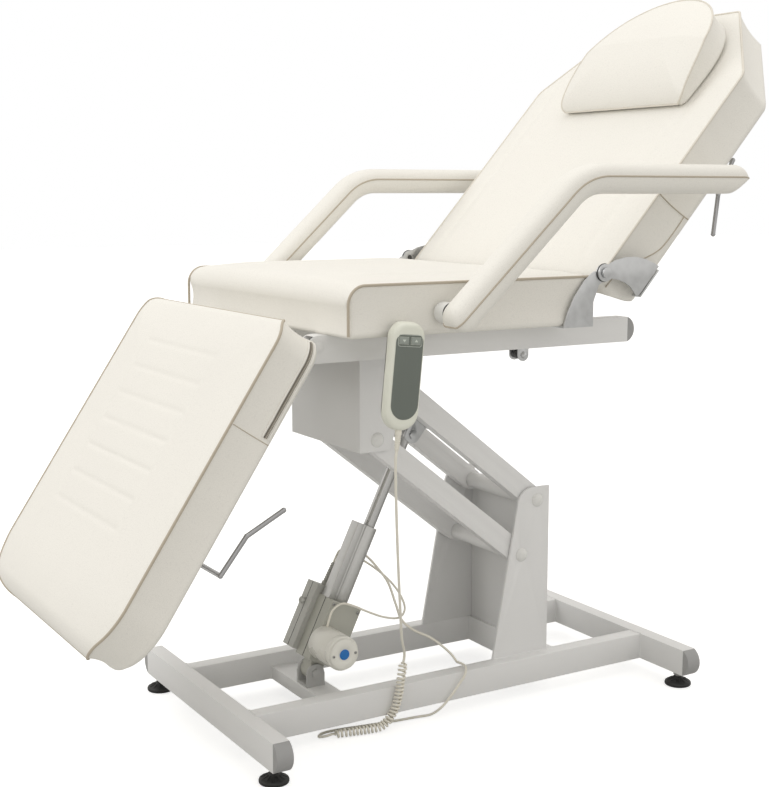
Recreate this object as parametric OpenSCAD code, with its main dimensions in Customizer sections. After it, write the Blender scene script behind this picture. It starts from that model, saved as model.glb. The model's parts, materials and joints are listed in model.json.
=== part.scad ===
// Podiatry chair with a motor lift, a hinged back, a hinged leg rest and swinging armrests.
// The sitter faces -Y, X runs across, and the floor is at z = 0.

/* [Base frame] */
// Width of the square-cut frame tubes
tube_w = 30; // [26:1:36]
// Height of the base tubes
tube_h = 50; // [44:1:60]
// Wall of all frame tubes
tube_wall = 2; // [1.5:0.5:3]
// Floor to the underside of the base tubes
ground_gap = 27; // [24:1:36]
// Length of a cross beam between its end caps
beam_len = 540; // [500:10:600]
// Place of the front cross beam along the chair
front_beam_y = -386; // [-410:1:-360]
// Place of the rear cross beam along the chair
rear_beam_y = 482; // [460:1:520]
// Inner half gap between the side rails
rail_gap = 120; // [116:1:126]
// Bulge of the plastic end caps
cap_bulge = 16; // [10:1:20]
// Depth of the low bar that carries the lift motor
motor_bar_h = 25; // [20:1:30]
// Length of that bar along the chair
motor_bar_len = 50; // [44:1:60]

/* [Feet] */
// Radius of a foot disc
foot_r = 25; // [20:1:30]
// Height of a foot disc at its rim
foot_rim = 6; // [4:1:8]
// Radius of the threaded stem
stem_r = 5; // [4:0.5:5]
// Distance of each foot from the middle, across
foot_x = 243; // [225:1:250]

/* [Tower] */
// Thickness of the tower's side plates
tower_t = 5; // [4:1:6]
// Length of a side plate at its foot
tower_foot = 125; // [110:1:140]
// Length of a side plate at the top bend
tower_head = 72; // [66:1:80]
// Height of a side plate
tower_h = 319; // [312:1:330]
// Corner radius at the top front of a side plate
tower_corner = 34; // [26:1:40]
// Thickness of the rear web
web_t = 3; // [2:0.5:5]

/* [Lift arms] */
// Upper pivot, forward of the tower's rear edge
pivot_in = 27; // [25:1:30]
// Height of the upper pivot
upper_pivot_z = 371; // [368:1:374]
// Lower pivot, forward of the upper one
pivot_step = 35; // [32:1:38]
// Upper pivot above the lower one
pivot_drop = 101; // [96:1:106]
// Distance between the pivots of an arm
arm_len = 400; // [390:1:410]
// Slope of the arms at the top of the lift
arm_slope = 38.2; // [37:0.1:39]
// Depth of an arm tube
arm_h = 40; // [36:1:42]
// Width of an arm tube
arm_w = 28; // [24:1:30]
// Radius of the pivot shafts and bolts
pivot_r = 8; // [6:0.5:9]
// Radius of the round tubes that tie each pair of arms
torque_r = 15; // [13:0.5:16]
// Radius of the domed pivot caps
dome_r = 13.4; // [12:0.2:15]
// Height of the domed pivot caps
dome_h = 7; // [5:0.5:9]

/* [Front bracket] */
// Height of the folded plate under the seat
bracket_h = 175; // [165:1:175]
// Length of its cheeks
bracket_len = 96; // [90:1:105]
// Thickness of the folded plate
bracket_t = 5; // [4:1:6]
// Front face of the plate, ahead of the upper front pivot
bracket_ahead = 70; // [66:1:76]

/* [Actuator] */
// Base pin of the actuator, ahead of the upper tower pivot
act_ahead = 416; // [410:1:420]
// Height of the base pin
act_pin_z = 77; // [76:1:80]
// Radius of the base pin and of the clevis bolts
act_pin_r = 5; // [4:0.5:6]
// Clevis pin, measured along the upper arms from the tower pivot
clevis_along = 245; // [240:1:250]
// Clevis pin, below the arms' centre line
clevis_below = 31; // [29:1:34]
// Length of the outer profile above the base pin
profile_end = 282; // [270:1:290]
// Radius of the round part of the outer profile
profile_r = 16; // [14:0.5:18]
// Radius of the push rod
rod_r = 10.5; // [9:0.5:11]
// Length of the push rod below the clevis pin
rod_len = 250; // [235:5:260]
// Radius of the motor
motor_r = 31; // [28:1:33]
// Length of the motor
motor_len = 80; // [70:1:84]

/* [Seat frame] */
// Depth of the seat tubes
seat_tube_h = 45; // [40:1:50]
// Underside of the seat board above the upper front pivot
seat_over_pivot = 98.637; // [98.637:0.5:103.637]
// Inner half gap between the seat rails
seat_rail_gap = 200; // [195:1:206]
// Front end of the seat rails
seat_rail_front = -307; // [-315:1:-300]
// Rear end of the seat rails
seat_rail_rear = 344; // [330:1:360]

/* [Seat] */
// Width of the seat
seat_w = 620; // [600:5:640]
// Front face of the seat
seat_front = -283; // [-290:1:-280]
// Rear face of the seat
seat_rear = 193; // [180:1:193]
// Underside of the board to the piping
seat_t = 82; // [76:1:86]
// Crown above the piping
crown = 13; // [8:1:16]
// Thickness of the boards under the upholstery
board_t = 15; // [12:1:18]

/* [Backrest] */
// Hinge of the backrest, along the chair
hinge_y = 215; // [212:1:220]
// Hinge of the backrest above the seat board's underside
hinge_over = 88; // [86:1:91]
// Slope of the backrest in this pose
back_slope = 47.8; // [40:0.1:55]
// Side of the backrest inside the side of the seat
back_inset = 10; // [6:1:16]
// Backrest above its hinge
back_len = 650; // [640:1:660]
// Backrest below its hinge
back_tail = 20; // [14:1:20]
// Thickness of the backrest to the piping
back_t = 78; // [70:1:78]
// Piping of the backrest behind the hinge
back_set = 8; // [7:1:10]
// Length of the tapered head of the backrest
head_taper = 175; // [160:1:200]
// Width of the backrest at its head
head_w = 334; // [310:2:350]

/* [Leg rest] */
// Pivot of the leg rest along the chair
leg_pivot_y = -292; // [-294:1:-290]
// Pivot of the leg rest below the seat board's underside
leg_pivot_under = 20; // [17:1:21]
// Slope of the leg rest in this pose
leg_slope = 56.5; // [50:0.5:60]
// Width of the leg rest
leg_w = 576; // [560:2:600]
// Length of the leg rest
leg_len = 588; // [570:1:600]
// Thickness of the leg rest to the piping
leg_t = 76; // [70:1:80]
// Rear face of the leg rest above its pivot, when raised
leg_lift = 20.5; // [20:0.5:23]
// Corner radius at the foot end
leg_foot_r = 100; // [80:1:120]
// Corner radius at the knee end
leg_knee_r = 46; // [35:1:60]
// Roundness of the foot end seen from the side
leg_toe_r = 34; // [20:1:40]

/* [Pillow] */
// Width of the half-moon pillow
pillow_w = 352; // [330:2:370]
// Lower edge of the pillow above the hinge
pillow_from = 387; // [380:1:392]
// Middle of the pillow, from the back's middle to the sitter's left
pillow_x = 48; // [30:1:55]
// Length of the pillow up the back
pillow_len = 238; // [220:1:242]
// Thickness of the pillow at its lower edge
pillow_thin = 10; // [9:1:20]
// Thickness of the pillow at its head
pillow_thick = 56; // [45:1:65]

/* [Armrests] */
// Width of an armrest
arm_pad_w = 56; // [50:1:62]
// Thickness of an armrest
arm_pad_t = 50; // [44:1:56]
// Gap between the seat's side and an armrest
arm_gap = 28; // [26:1:36]
// Armrest pivot along the chair
arm_pivot_y = -111; // [-115:1:-105]
// Armrest pivot above the seat board's underside
arm_pivot_over = 35; // [28:1:43]
// Middle line of the level part above the armrest pivot
arm_level_over = 211; // [200:1:222]
// Corner of the middle line along the chair
arm_corner_y = 118; // [110:1:125]
// Rear tip of the armrests
arm_tip_y = 477; // [460:1:490]
// Bend radius at the corner
arm_bend_r = 100; // [80:1:120]
// Armrest beyond its pivot
arm_heel = 28; // [26:1:32]
// Radius of the hub discs
hub_r = 17; // [14:1:20]
// Radius of the armrest pivot pins
hub_pin_r = 6; // [5:0.5:8]

/* [Hand control] */
// Length of the hand control
handset_len = 176; // [160:1:185]
// Width of the hand control
handset_w = 64; // [58:1:68]
// Thickness of the hand control
handset_t = 23; // [20:1:26]
// Width of one button
button_w = 17; // [14:1:19]
// Height of one button
button_h = 11; // [9:1:13]
// Travel of the buttons
button_travel = 1; // [0.6:0.1:1.4]

/* [Levers and struts] */
// Thickness of the bent release levers
lever_d = 8; // [7:0.5:10]
// Reach of the levers' cross part from the middle
lever_reach = 266; // [250:2:280]
// Length of each of the two handle bends
lever_leg = 72; // [60:1:80]
// Radius of the strut cylinders
strut_r = 11; // [10:0.5:11]
// Radius of the strut rods
strut_rod_r = 5; // [4:0.5:6]

/* [Hidden] */

// Clearances and overruns
cut = 1;
run_fit = 0.05;
loose = 0.5;
skin_gap = 0.3;
side_play = 2;

// Places that follow from the driving sizes
rail_x = rail_gap + tube_w/2;
base_top = ground_gap + tube_h;
tower_rear = 253;
tower_x = rail_gap;
arm_out = tower_x - side_play;
arm_in = arm_out - arm_w;
upper_y = tower_rear - pivot_in;
lower_y = upper_y - pivot_step;
lower_pivot_z = upper_pivot_z - pivot_drop;
front_upper_y = upper_y - arm_len*cos(arm_slope);
front_upper_z = upper_pivot_z + arm_len*sin(arm_slope);
front_lower_y = front_upper_y - pivot_step;
front_lower_z = front_upper_z - pivot_drop;
bracket_front = front_upper_y - bracket_ahead;
bracket_x = tower_x + side_play;
seat_board_z = front_upper_z + seat_over_pivot;
seat_tube_z = seat_board_z - seat_tube_h;
hinge_z = seat_board_z + hinge_over;
leg_pivot_z = seat_board_z - leg_pivot_under;
arm_pivot_z = seat_board_z + arm_pivot_over;
arm_level_z = arm_pivot_z + arm_level_over;
back_w = seat_w - 2*back_inset;
arm_pad_x = seat_w/2 + arm_gap + arm_pad_w/2;
act_y = upper_y - act_ahead;
clevis_y = upper_y - clevis_along*cos(arm_slope) - clevis_below*sin(arm_slope);
clevis_z = upper_pivot_z + clevis_along*sin(arm_slope) - clevis_below*cos(arm_slope);
act_len = norm([clevis_y - act_y, clevis_z - act_pin_z]);
act_lean = atan2(clevis_y - act_y, clevis_z - act_pin_z);

// Shared small hardware
bolt_head_r = 9;
bolt_head_h = 5;
cap_plug = 12;
cap_fit = 0.2;
bolt_facets = 6;
smooth = 48;

// Upholstery
fold_in = 70;
fold_w = 12;
fold_d = 2.5;
side_draw = 5;
edge_soft = 3;
crown_power = 4;
seat_corner = 30;
back_corner = 24;
board_facets = 8;

// Board of a back or leg rest stands under its cushion in the rest's own frame
back_low = -back_set - back_t;
leg_high = leg_lift + leg_t;

// Struts: lower pins on the seat frame and upper pins behind the boards
strut_pin_drop = [87, 72];
back_strut_y = 270;
back_strut_z = seat_board_z - strut_pin_drop[0];
back_lever_up = 372;
back_lever_out = 121.6;
leg_strut_y = -230;
leg_strut_z = seat_board_z - strut_pin_drop[1];
leg_strut_x = -40;
leg_lever_down = 385;
leg_lever_out = 25;
strut_pin_r = 4;
strut_eye_r = 9;
strut_eye_half = 7;
strut_ear_t = 3;
strut_ear_gap = 12.5;
strut_foot = 14;
back_bar_shift = 13;
strut_cap = 16;
back_strut_body = 250;
leg_strut_body = 215;
back_strut_tuck = 72;
leg_strut_tuck = 90;

// Hand control and its hook
handset_gap = 9;
handset_y = -206;
handset_drop = 151;
handset_x = seat_w/2 + handset_gap;
handset_z = seat_board_z - handset_drop;
handset_tilt = 5.74;
handset_end_r = 22;
face_t = 1.2;
face_w = 50;
face_len = 134;
face_up = 24;
face_corner = 12;
face_end_r = 24;
shell_end_r = 31;
relief_len = 26;
relief_r = 5.5;
relief_tip_r = 3.8;
button_up_z = 148;
button_gap = 22;
button_proud = 0.8;
hook_w = 18;
hook_t = 2.5;
hook_gap = 4;
hook_x = seat_w/2 + hook_gap;
hook_top = 172;
hook_drop = 24;
hook_grip = 18;
hook_rise = 21.5;

// Cords
cord_r = 2.3;
cord_sides = 8;
lead_r = 2;
curl_r = 2.1;
curl_mid_r = 6.1;
curl_count = 31;
curl_rings = 8;
curl_sides = 6;

// Route of the handset cord from the hand control down to its curls
upper_route = [[330.5, -207.5, 552], [330.5, -208.8, 539], [328, -209, 520], [305, -194, 455],
  [265, -166, 350], [225, -137, 250], [192, -113, 180], [170, -95, 150], [161, -88.5, 135], [160, -89, 126]];
// Route of the curls, down beside the rail and forward under it
curl_route = [[160, -90, 122], [160, -95, 92], [160, -100, 62], [159, -110, 34], [156, -130, 13],
  [150, -158, 9], [144, -187, 9], [138, -216, 9]];
// Route along the floor, up the rail's outer side and over it
floor_route = [[137, -221, 9], [134, -232, 6.5], [124, -240, 3.5], [113, -230, 2.6], [110, -210, 2.6],
  [114, -178, 2.6], [122, -130, 2.6], [128, -86, 2.6], [132, -45, 2.6], [142, -20, 6], [154, -6, 20],
  [157, 10, 36], [158, 28, 56], [158, 42, 73], [150, 50, 83], [134, 55, 84], [112, 56, 82]];
// Route from the rail up to the plug on the control box
rise_route = [[112, 56, 82], [98, 48, 98], [76, 24, 122], [55, -3, 137], [42, -21, 156], [30, -27, 185],
  [15, -34, 222], [2, -48, 248], [-10, -62, 268], [-22, -78, 282], [-31, -92, 284], [-35, -101, 276],
  [-35, -108, 264], [-35, -112, 256], [-35, -115, 250]];
// Route of the motor's own lead
motor_route = [[36, -176, 160], [36.5, -172, 176], [38, -164, 196], [40, -146, 206], [41, -122, 198],
  [39, -92, 182], [36, -55, 165], [28, -18, 156], [16, 2, 168], [6, -4, 195], [-4, -22, 222],
  [-18, -46, 246], [-32, -70, 264], [-44, -88, 277], [-51, -99, 278], [-53, -106, 268], [-53, -112, 256],
  [-53, -115, 250]];
upper_rings = 19;
floor_rings = 24;
rise_rings = 16;
lead_rings = 20;

// Unit vector
function unit(v) = v/norm(v);

// Point on a smooth curve through the points of a route, for t from 0 to 1
function along(route, t) =
  let (n = len(route) - 1, u = min(t*n, n - 0.000001), i = floor(u), f = u - i)
  let (a = route[max(i - 1, 0)], b = route[i], c = route[i + 1], d = route[min(i + 2, n)])
  (2*b + (c - a)*f + (2*a - 5*b + 4*c - d)*f*f + (3*b - a - 3*c + d)*f*f*f)/2;

// Tangents along a list of points
function tangents(p) = [for (i = [0 : len(p) - 1]) unit(p[min(i + 1, len(p) - 1)] - p[max(i - 1, 0)])];

// Normals carried along the tangents without twist
function carried(ts, n, i = 0) = i == len(ts) ? []
  : let (m = unit(n - (n*ts[i])*ts[i])) concat([m], carried(ts, m, i + 1));

// Triangles that join equal rings, with a fan over each end
function ring_faces(rows, n) = concat(
  [for (i = [0 : rows - 2]) for (k = [0 : n - 1]) let (a = i*n + k, b = i*n + (k + 1)%n)
    each [[a, a + n, b + n], [a, b + n, b]]],
  [for (k = [0 : n - 1]) [rows*n, k, (k + 1)%n]],
  [for (k = [0 : n - 1]) let (e = (rows - 1)*n) [rows*n + 1, e + (k + 1)%n, e + k]]);

function mean(p) = [for (i = [0 : 2]) (min([for (q = p) q[i]]) + max([for (q = p) q[i]]))/2];

// Closed skin over rings that run round the direction of travel
module skin(rings) {
  ends = [mean(rings[0]), mean(rings[len(rings) - 1])];
  polyhedron(points = concat([for (r = rings) each r], ends), faces = ring_faces(len(rings), len(rings[0])));
}

// Round cord along a list of points
module cord(p, r, sides) {
  ts = tangents(p);
  ns = carried(ts, [1, 0, 0.1]);
  skin([for (i = [0 : len(p) - 1]) [for (k = [0 : sides - 1]) let (a = 360*k/sides, b = cross(ts[i], ns[i]))
    p[i] + r*(cos(a)*ns[i] + sin(a)*b)]]);
}

function spaced(route, rings) = [for (i = [0 : rings - 1]) along(route, i/(rings - 1))];

// Curls of the handset cord: the radius grows from the route at both ends
curl_step_share = 0.002;
function curl_way(t) = let (t0 = max(t - curl_step_share, 0), t1 = min(t + curl_step_share, 1))
  unit(along(curl_route, t1) - along(curl_route, t0));
function curl_point(t) =
  let (q = curl_way(t), u = unit([1, 0, 0] - ([1, 0, 0]*q)*q), v = cross(q, u))
  let (grow = min(1, t*curl_count, (1 - t)*curl_count), turn = 360*curl_count*t)
  along(curl_route, t) + curl_mid_r*grow*(cos(turn)*u + sin(turn)*v);

// A straight run of a little over one diameter stands before the first curl and after the last
curl_lead = 2.4*curl_r;
curl_first = curl_route[0];
curl_last = curl_route[len(curl_route) - 1];
curl_steps = curl_count*curl_rings;
curl_points = concat([curl_first - curl_lead*curl_way(0)],
  [for (i = [0 : curl_steps]) curl_point(i/curl_steps)], [curl_last + curl_lead*curl_way(1)]);
curl_near = 5;
curl_far = 14;
curl_gaps = [for (i = [0 : len(curl_points) - 1 - curl_near])
  for (j = [i + curl_near : min(i + curl_far, len(curl_points) - 1)]) norm(curl_points[i] - curl_points[j])];
curl_self = min(curl_gaps) - 2*curl_r;
echo(least_gap_between_curls = curl_self);

// Hollow box tube along Y, from y0 to y1, centred on x, standing on z
module tube_y(x, y0, y1, z, w, h) {
  translate([x - w/2, y0, z]) difference() {
    cube([w, y1 - y0, h]);
    translate([tube_wall, -cut, tube_wall]) cube([w - 2*tube_wall, y1 - y0 + 2*cut, h - 2*tube_wall]);
  }
}

// Hollow box tube along X, from -half to half
module tube_x(half, y, z, w, h) {
  rotate([0, 0, -90]) tube_y(-y, -half, half, z, w, h);
}

// Cylinder along X from x0 to x1
module bar(x0, x1, r, facets = smooth) {
  translate([min(x0, x1), 0, 0]) rotate([0, 90, 0]) cylinder(h = abs(x1 - x0), r = r, $fn = facets);
}

// Both halves of a symmetric piece
module both() {
  children();
  mirror([1, 0, 0]) children();
}

// Domed cap whose flat side faces -X at the origin
module dome(r, h) {
  ball = (r*r + h*h)/(2*h);
  intersection() {
    translate([h - ball, 0, 0]) rotate([0, 90, 0]) sphere(r = ball, $fn = smooth);
    bar(0, h + cut, r);
  }
}

// Rounded plastic plug for the end of a tube that points along +Y
module end_cap(w, h) {
  bow = (h*h/4 + cap_bulge*cap_bulge)/(2*cap_bulge);
  intersection() {
    translate([-w/2, 0, -h/2]) cube([w, cap_bulge + cut, h]);
    translate([0, cap_bulge - bow, 0]) bar(-w, w, bow, 2*smooth);
  }
  inner_w = w - 2*tube_wall - 2*cap_fit;
  inner_h = h - 2*tube_wall - 2*cap_fit;
  translate([-inner_w/2, -cap_plug, -inner_h/2]) cube([inner_w, cap_plug, inner_h]);
}

// Frames of the moving assemblies
module at_arm(y, z) {
  translate([0, y, z]) rotate([-arm_slope, 0, 0]) children();
}
module at_back() {
  translate([0, hinge_y, hinge_z]) rotate([back_slope, 0, 0]) children();
}
module at_leg() {
  translate([0, leg_pivot_y, leg_pivot_z]) rotate([leg_slope, 0, 0]) children();
}
module at_actuator() {
  translate([0, act_y, act_pin_z]) rotate([-act_lean, 0, 0]) children();
}
module at_handset() {
  translate([handset_x, handset_y, handset_z]) rotate([-handset_tilt, 0, 0]) children();
}

// Base frame
module side_rails() {
  color("whitesmoke") both()
    tube_y(rail_x, front_beam_y + tube_w/2, rear_beam_y - tube_w/2, ground_gap, tube_w, tube_h);
}

module cross_beams() {
  color("whitesmoke") for (y = [front_beam_y, rear_beam_y]) difference() {
    tube_x(beam_len/2, y, ground_gap, tube_w, tube_h);
    for (x = [-foot_x, foot_x]) translate([x, y, ground_gap - cut])
      cylinder(h = tube_wall + 2*cut, r = stem_r + loose, $fn = smooth);
  }
}

// Cross bars of the base, set from the tower's rear edge and from the actuator's pin
tower_bar_shift = 3;
motor_bar_shift = 4;
module base_crossbars() {
  color("whitesmoke") {
    tube_x(rail_gap, tower_rear + tower_bar_shift, ground_gap, tube_w, tube_h);
    tube_x(rail_gap, act_y + motor_bar_shift, ground_gap, motor_bar_len, motor_bar_h);
  }
}

module beam_end_caps() {
  color("darkgray") for (y = [front_beam_y, rear_beam_y]) both()
    translate([beam_len/2, y, ground_gap + tube_h/2]) rotate([0, 0, -90]) end_cap(tube_w, tube_h);
}

// Levelling foot: moulded disc, stem and lock nut in one
foot_neck_r = 8;
foot_neck_z = 17;
nut_r = 9;
nut_z = 20;
stem_top = 50;
module foot(x, y) {
  translate([x, y, 0]) {
    rotate_extrude($fn = smooth) polygon([[0, 0], [foot_r - edge_soft, 0], [foot_r, edge_soft/2],
      [foot_r, foot_rim], [foot_r - edge_soft, foot_rim + edge_soft], [foot_neck_r, foot_neck_z],
      [stem_r, foot_neck_z], [stem_r, stem_top], [0, stem_top]]);
    translate([0, 0, nut_z]) cylinder(h = ground_gap - skin_gap - nut_z, r = nut_r, $fn = bolt_facets);
  }
}
module foot_front_left() { color("dimgray") foot(foot_x, front_beam_y); }
module foot_front_right() { color("dimgray") foot(-foot_x, front_beam_y); }
module foot_rear_left() { color("dimgray") foot(foot_x, rear_beam_y); }
module foot_rear_right() { color("dimgray") foot(-foot_x, rear_beam_y); }

// Tower
tower_front_h = tower_h - tower_corner;
module tower_plate() {
  arc = [for (a = [180 : -15 : 90]) [tower_rear - tower_head + tower_corner*(1 + cos(a)),
    base_top + tower_front_h + tower_corner*sin(a)]];
  difference() {
    translate([tower_x, 0, 0]) rotate([90, 0, 90]) linear_extrude(height = tower_t)
      polygon(concat([[tower_rear - tower_foot, base_top]], arc, [[tower_rear, base_top + tower_h],
        [tower_rear, base_top]]));
    translate([0, upper_y, upper_pivot_z]) bar(0, 2*tower_x, pivot_r + run_fit);
    translate([0, lower_y, lower_pivot_z]) bar(0, 2*tower_x, pivot_r + run_fit);
  }
}
module tower_plates() {
  color("whitesmoke") both() tower_plate();
}

web_inset = 3;
web_drop = 16;
module tower_web() {
  color("gainsboro") translate([-tower_x, tower_rear - web_inset - web_t, base_top])
    cube([2*tower_x, web_t, tower_h - web_drop]);
}

module pivot_bolt(x0, x1) {
  bar(x0, x1, pivot_r);
  translate([x1, 0, 0]) dome(dome_r, dome_h);
}

module tower_pivot_bolts() {
  color("silver") for (p = [[upper_y, upper_pivot_z], [lower_y, lower_pivot_z]])
    translate([0, p[0], p[1]]) both() pivot_bolt(0, tower_x + tower_t);
}

act_ear_in = 15;
act_ear_t = 5;
act_ear_half = 18;
act_ear_r = 17;
bar_top = ground_gap + motor_bar_h;
module act_ear() {
  difference() {
    union() {
      translate([act_ear_in, act_y, act_pin_z]) bar(0, act_ear_t, act_ear_r);
      translate([act_ear_in, act_y - act_ear_half, bar_top])
        cube([act_ear_t, 2*act_ear_half, act_pin_z - bar_top]);
      translate([0, act_y - act_ear_half, bar_top]) cube([act_ear_in + act_ear_t, 2*act_ear_half, act_ear_t]);
    }
    translate([0, act_y, act_pin_z]) bar(-cut, 2*act_ear_in, act_pin_r + run_fit);
  }
}
module actuator_bracket() {
  color("darkgray") {
    both() act_ear();
    translate([0, act_y, act_pin_z]) {
      bar(-act_ear_in - act_ear_t, act_ear_in + act_ear_t, act_pin_r);
      both() translate([act_ear_in + act_ear_t, 0, 0]) bar(0, bolt_head_h, bolt_head_r, bolt_facets);
    }
  }
}

// Lift arms: closed box tubes with a bush at each pivot
bush_r = 13;
module arm_outline(r) {
  polygon(concat([for (a = [-90 : 10 : 90]) [r*cos(a), r*sin(a)]],
    [for (a = [90 : 10 : 270]) [-arm_len + r*cos(a), r*sin(a)]]));
}
module lift_arm() {
  difference() {
    union() {
      difference() {
        translate([arm_in, 0, 0]) rotate([90, 0, 90]) linear_extrude(height = arm_w) arm_outline(arm_h/2);
        translate([arm_in + tube_wall, 0, 0]) rotate([90, 0, 90])
          linear_extrude(height = arm_w - 2*tube_wall) arm_outline(arm_h/2 - tube_wall);
      }
      for (y = [0, -arm_len]) translate([0, y, 0]) bar(arm_in + tube_wall/2, arm_out - tube_wall/2, bush_r);
    }
    for (y = [0, -arm_len]) translate([0, y, 0]) bar(arm_in - cut, arm_out + cut, pivot_r + run_fit);
  }
}
module torque_tube() {
  difference() {
    bar(-arm_in, arm_in, torque_r);
    bar(-arm_in - cut, arm_in + cut, torque_r - 2*tube_wall);
  }
}
module upper_lift_arms() { color("whitesmoke") at_arm(upper_y, upper_pivot_z) both() lift_arm(); }
module upper_torque_tube() { color("whitesmoke") at_arm(upper_y, upper_pivot_z) torque_tube(); }
module lower_lift_arms() { color("whitesmoke") at_arm(lower_y, lower_pivot_z) both() lift_arm(); }
module lower_torque_tube() { color("whitesmoke") at_arm(lower_y, lower_pivot_z) torque_tube(); }

clevis_bar_w = 40;
clevis_bar_low = 5;
clevis_ear_in = 18;
clevis_ear_t = 5;
clevis_ear_r = 16;
clevis_bolt_gap = 2;
rod_eye_half = 14;
module clevis_ear() {
  difference() {
    union() {
      translate([clevis_ear_in, -clevis_along, -clevis_below]) bar(0, clevis_ear_t, clevis_ear_r);
      translate([clevis_ear_in, -clevis_along - clevis_ear_r, -clevis_below])
        cube([clevis_ear_t, 2*clevis_ear_r, clevis_below - clevis_bar_low]);
    }
    translate([0, -clevis_along, -clevis_below]) bar(0, 2*arm_in, act_pin_r + run_fit);
  }
}
module clevis_bracket() {
  color("silver") at_arm(upper_y, upper_pivot_z) {
    difference() {
      translate([-arm_in, -clevis_along - clevis_bar_w/2, -clevis_bar_low])
        cube([2*arm_in, clevis_bar_w, arm_h/2 + clevis_bar_low]);
      translate([-arm_in - cut, -clevis_along - clevis_bar_w/2 + tube_wall, tube_wall - clevis_bar_low])
        cube([2*arm_in + 2*cut, clevis_bar_w - 2*tube_wall, arm_h/2 + clevis_bar_low - 2*tube_wall]);
    }
    both() clevis_ear();
    both() translate([0, -clevis_along, -clevis_below]) {
      bar(rod_eye_half + clevis_bolt_gap, clevis_ear_in + clevis_ear_t, act_pin_r);
      bar(clevis_ear_in + clevis_ear_t, clevis_ear_in + clevis_ear_t + bolt_head_h, bolt_head_r, bolt_facets);
    }
  }
}

// Folded bracket under the seat that the arms push on
cheek_low = 60;
cheek_rise = 100;
module front_bracket() {
  color("whitesmoke") {
    translate([-bracket_x, bracket_front, seat_tube_z - bracket_h])
      cube([2*bracket_x, bracket_t, bracket_h]);
    both() difference() {
      translate([bracket_x, 0, 0]) rotate([90, 0, 90]) linear_extrude(height = bracket_t)
        polygon([[bracket_front, seat_tube_z], [bracket_front, seat_tube_z - bracket_h],
          [bracket_front + cheek_low, seat_tube_z - bracket_h],
          [bracket_front + bracket_len, seat_tube_z - bracket_h + cheek_rise],
          [bracket_front + bracket_len, seat_tube_z]]);
      translate([0, front_upper_y, front_upper_z]) bar(0, 2*tower_x, pivot_r + run_fit);
      translate([0, front_lower_y, front_lower_z]) bar(0, 2*tower_x, pivot_r + run_fit);
    }
  }
}

module bracket_pivot_bolts() {
  color("silver") both() {
    translate([0, front_upper_y, front_upper_z]) pivot_bolt(arm_in, bracket_x + bracket_t);
    translate([0, front_lower_y, front_lower_z]) pivot_bolt(arm_in - bolt_head_h, bracket_x + bracket_t);
  }
}

// Seat frame
seat_rail_x = seat_rail_gap + tube_w/2;
knee_play = 0.8;
crossbar_places = [bracket_front + tube_w/2, bracket_front + bracket_len - tube_w/2,
  back_strut_y - back_bar_shift, leg_strut_y];
module seat_rails() {
  color("whitesmoke") both() difference() {
    tube_y(seat_rail_x, seat_rail_front, seat_rail_rear, seat_tube_z, tube_w, seat_tube_h);
    translate([0, leg_pivot_y, leg_pivot_z]) bar(0, 2*seat_rail_x, pivot_r + run_fit);
    translate([0, leg_pivot_y, leg_pivot_z]) difference() {
      translate([0, -seat_tube_h, 0]) cube([2*seat_rail_x, seat_tube_h, seat_tube_h]);
      bar(-cut, 3*seat_rail_x, leg_lift - knee_play);
    }
  }
}
module seat_crossbars() {
  color("whitesmoke") for (y = crossbar_places) tube_x(seat_rail_gap, y, seat_tube_z, tube_w, seat_tube_h);
}
module seat_rail_caps() {
  color("darkgray") both() {
    translate([seat_rail_x, seat_rail_rear, seat_tube_z + seat_tube_h/2]) end_cap(tube_w, seat_tube_h);
  }
}

// Rounded board outline: half widths and corner radii at the low and the high end
function board_shape(half, y0, y1, r0, r1) =
  let (step = 90/board_facets)
  concat([for (a = [0 : step : 90]) [half - r1 + r1*cos(a), y1 - r1 + r1*sin(a)]],
    [for (a = [90 : step : 180]) [-half + r1 + r1*cos(a), y1 - r1 + r1*sin(a)]],
    [for (a = [180 : step : 270]) [-half + r0 + r0*cos(a), y0 + r0 + r0*sin(a)]],
    [for (a = [270 : step : 360]) [half - r0 + r0*cos(a), y0 + r0 + r0*sin(a)]]);

module seat_board() {
  color("ivory") translate([0, 0, seat_board_z]) linear_extrude(height = board_t)
    polygon(board_shape(seat_w/2, seat_front, seat_rear, seat_corner, seat_corner/2));
}

// Half width of a form near an end with a rounded corner: d is the distance from the end
function corner(half, r, d) = d >= r ? half : half - r + sqrt(max(0, r*r - (r - d)*(r - d)));

// Places across the top of a cushion, as shares of its half width, outside the fold
edge_shares = [1, 0.965, 0.9];
inner_shares = [0.55, 0.28, 0];
fold_share = 0.8;
fold_w_share = 0.08;

// One ring of a cushion at y: flat base, drawn-in sides, piped edge, crowned top with two folds
function cushion_ring(y, half, low, high, rise, fold_at, dip) =
  let (f = min(fold_at, fold_share*half), w = min(fold_w, fold_w_share*half))
  let (xs = concat(half*edge_shares, [f + w, f, f - w], half*inner_shares))
  let (tops = [for (x = xs) [x, high + rise*(1 - pow(x/half, crown_power)) - dip*exp(-pow((x - f)/w*2, 2))]])
  let (sides = [[half - edge_soft, low], [half, low + edge_soft], [half - side_draw, (low + high)/2],
    [half, high - edge_soft]])
  let (right = concat(sides, tops), n = len(right))
  concat([for (p = right) [-p[0], y, p[1]]], [for (i = [n - 2 : -1 : 0]) [right[i][0], y, right[i][1]]]);

// Share of the crown left at a place between two ends
function fade(y, y0, y1) = 1 - pow(abs(2*y - y0 - y1)/(y1 - y0), crown_power);

// Distances from an end at which a form gets its rings, as shares of its length
end_shares = [0, 0.008, 0.025, 0.06, 0.12, 0.22, 0.36, 0.5];
function stations(y0, y1) = concat([for (s = end_shares) y0 + s*(y1 - y0)],
  [for (i = [len(end_shares) - 2 : -1 : 0]) y1 - end_shares[i]*(y1 - y0)]);

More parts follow.
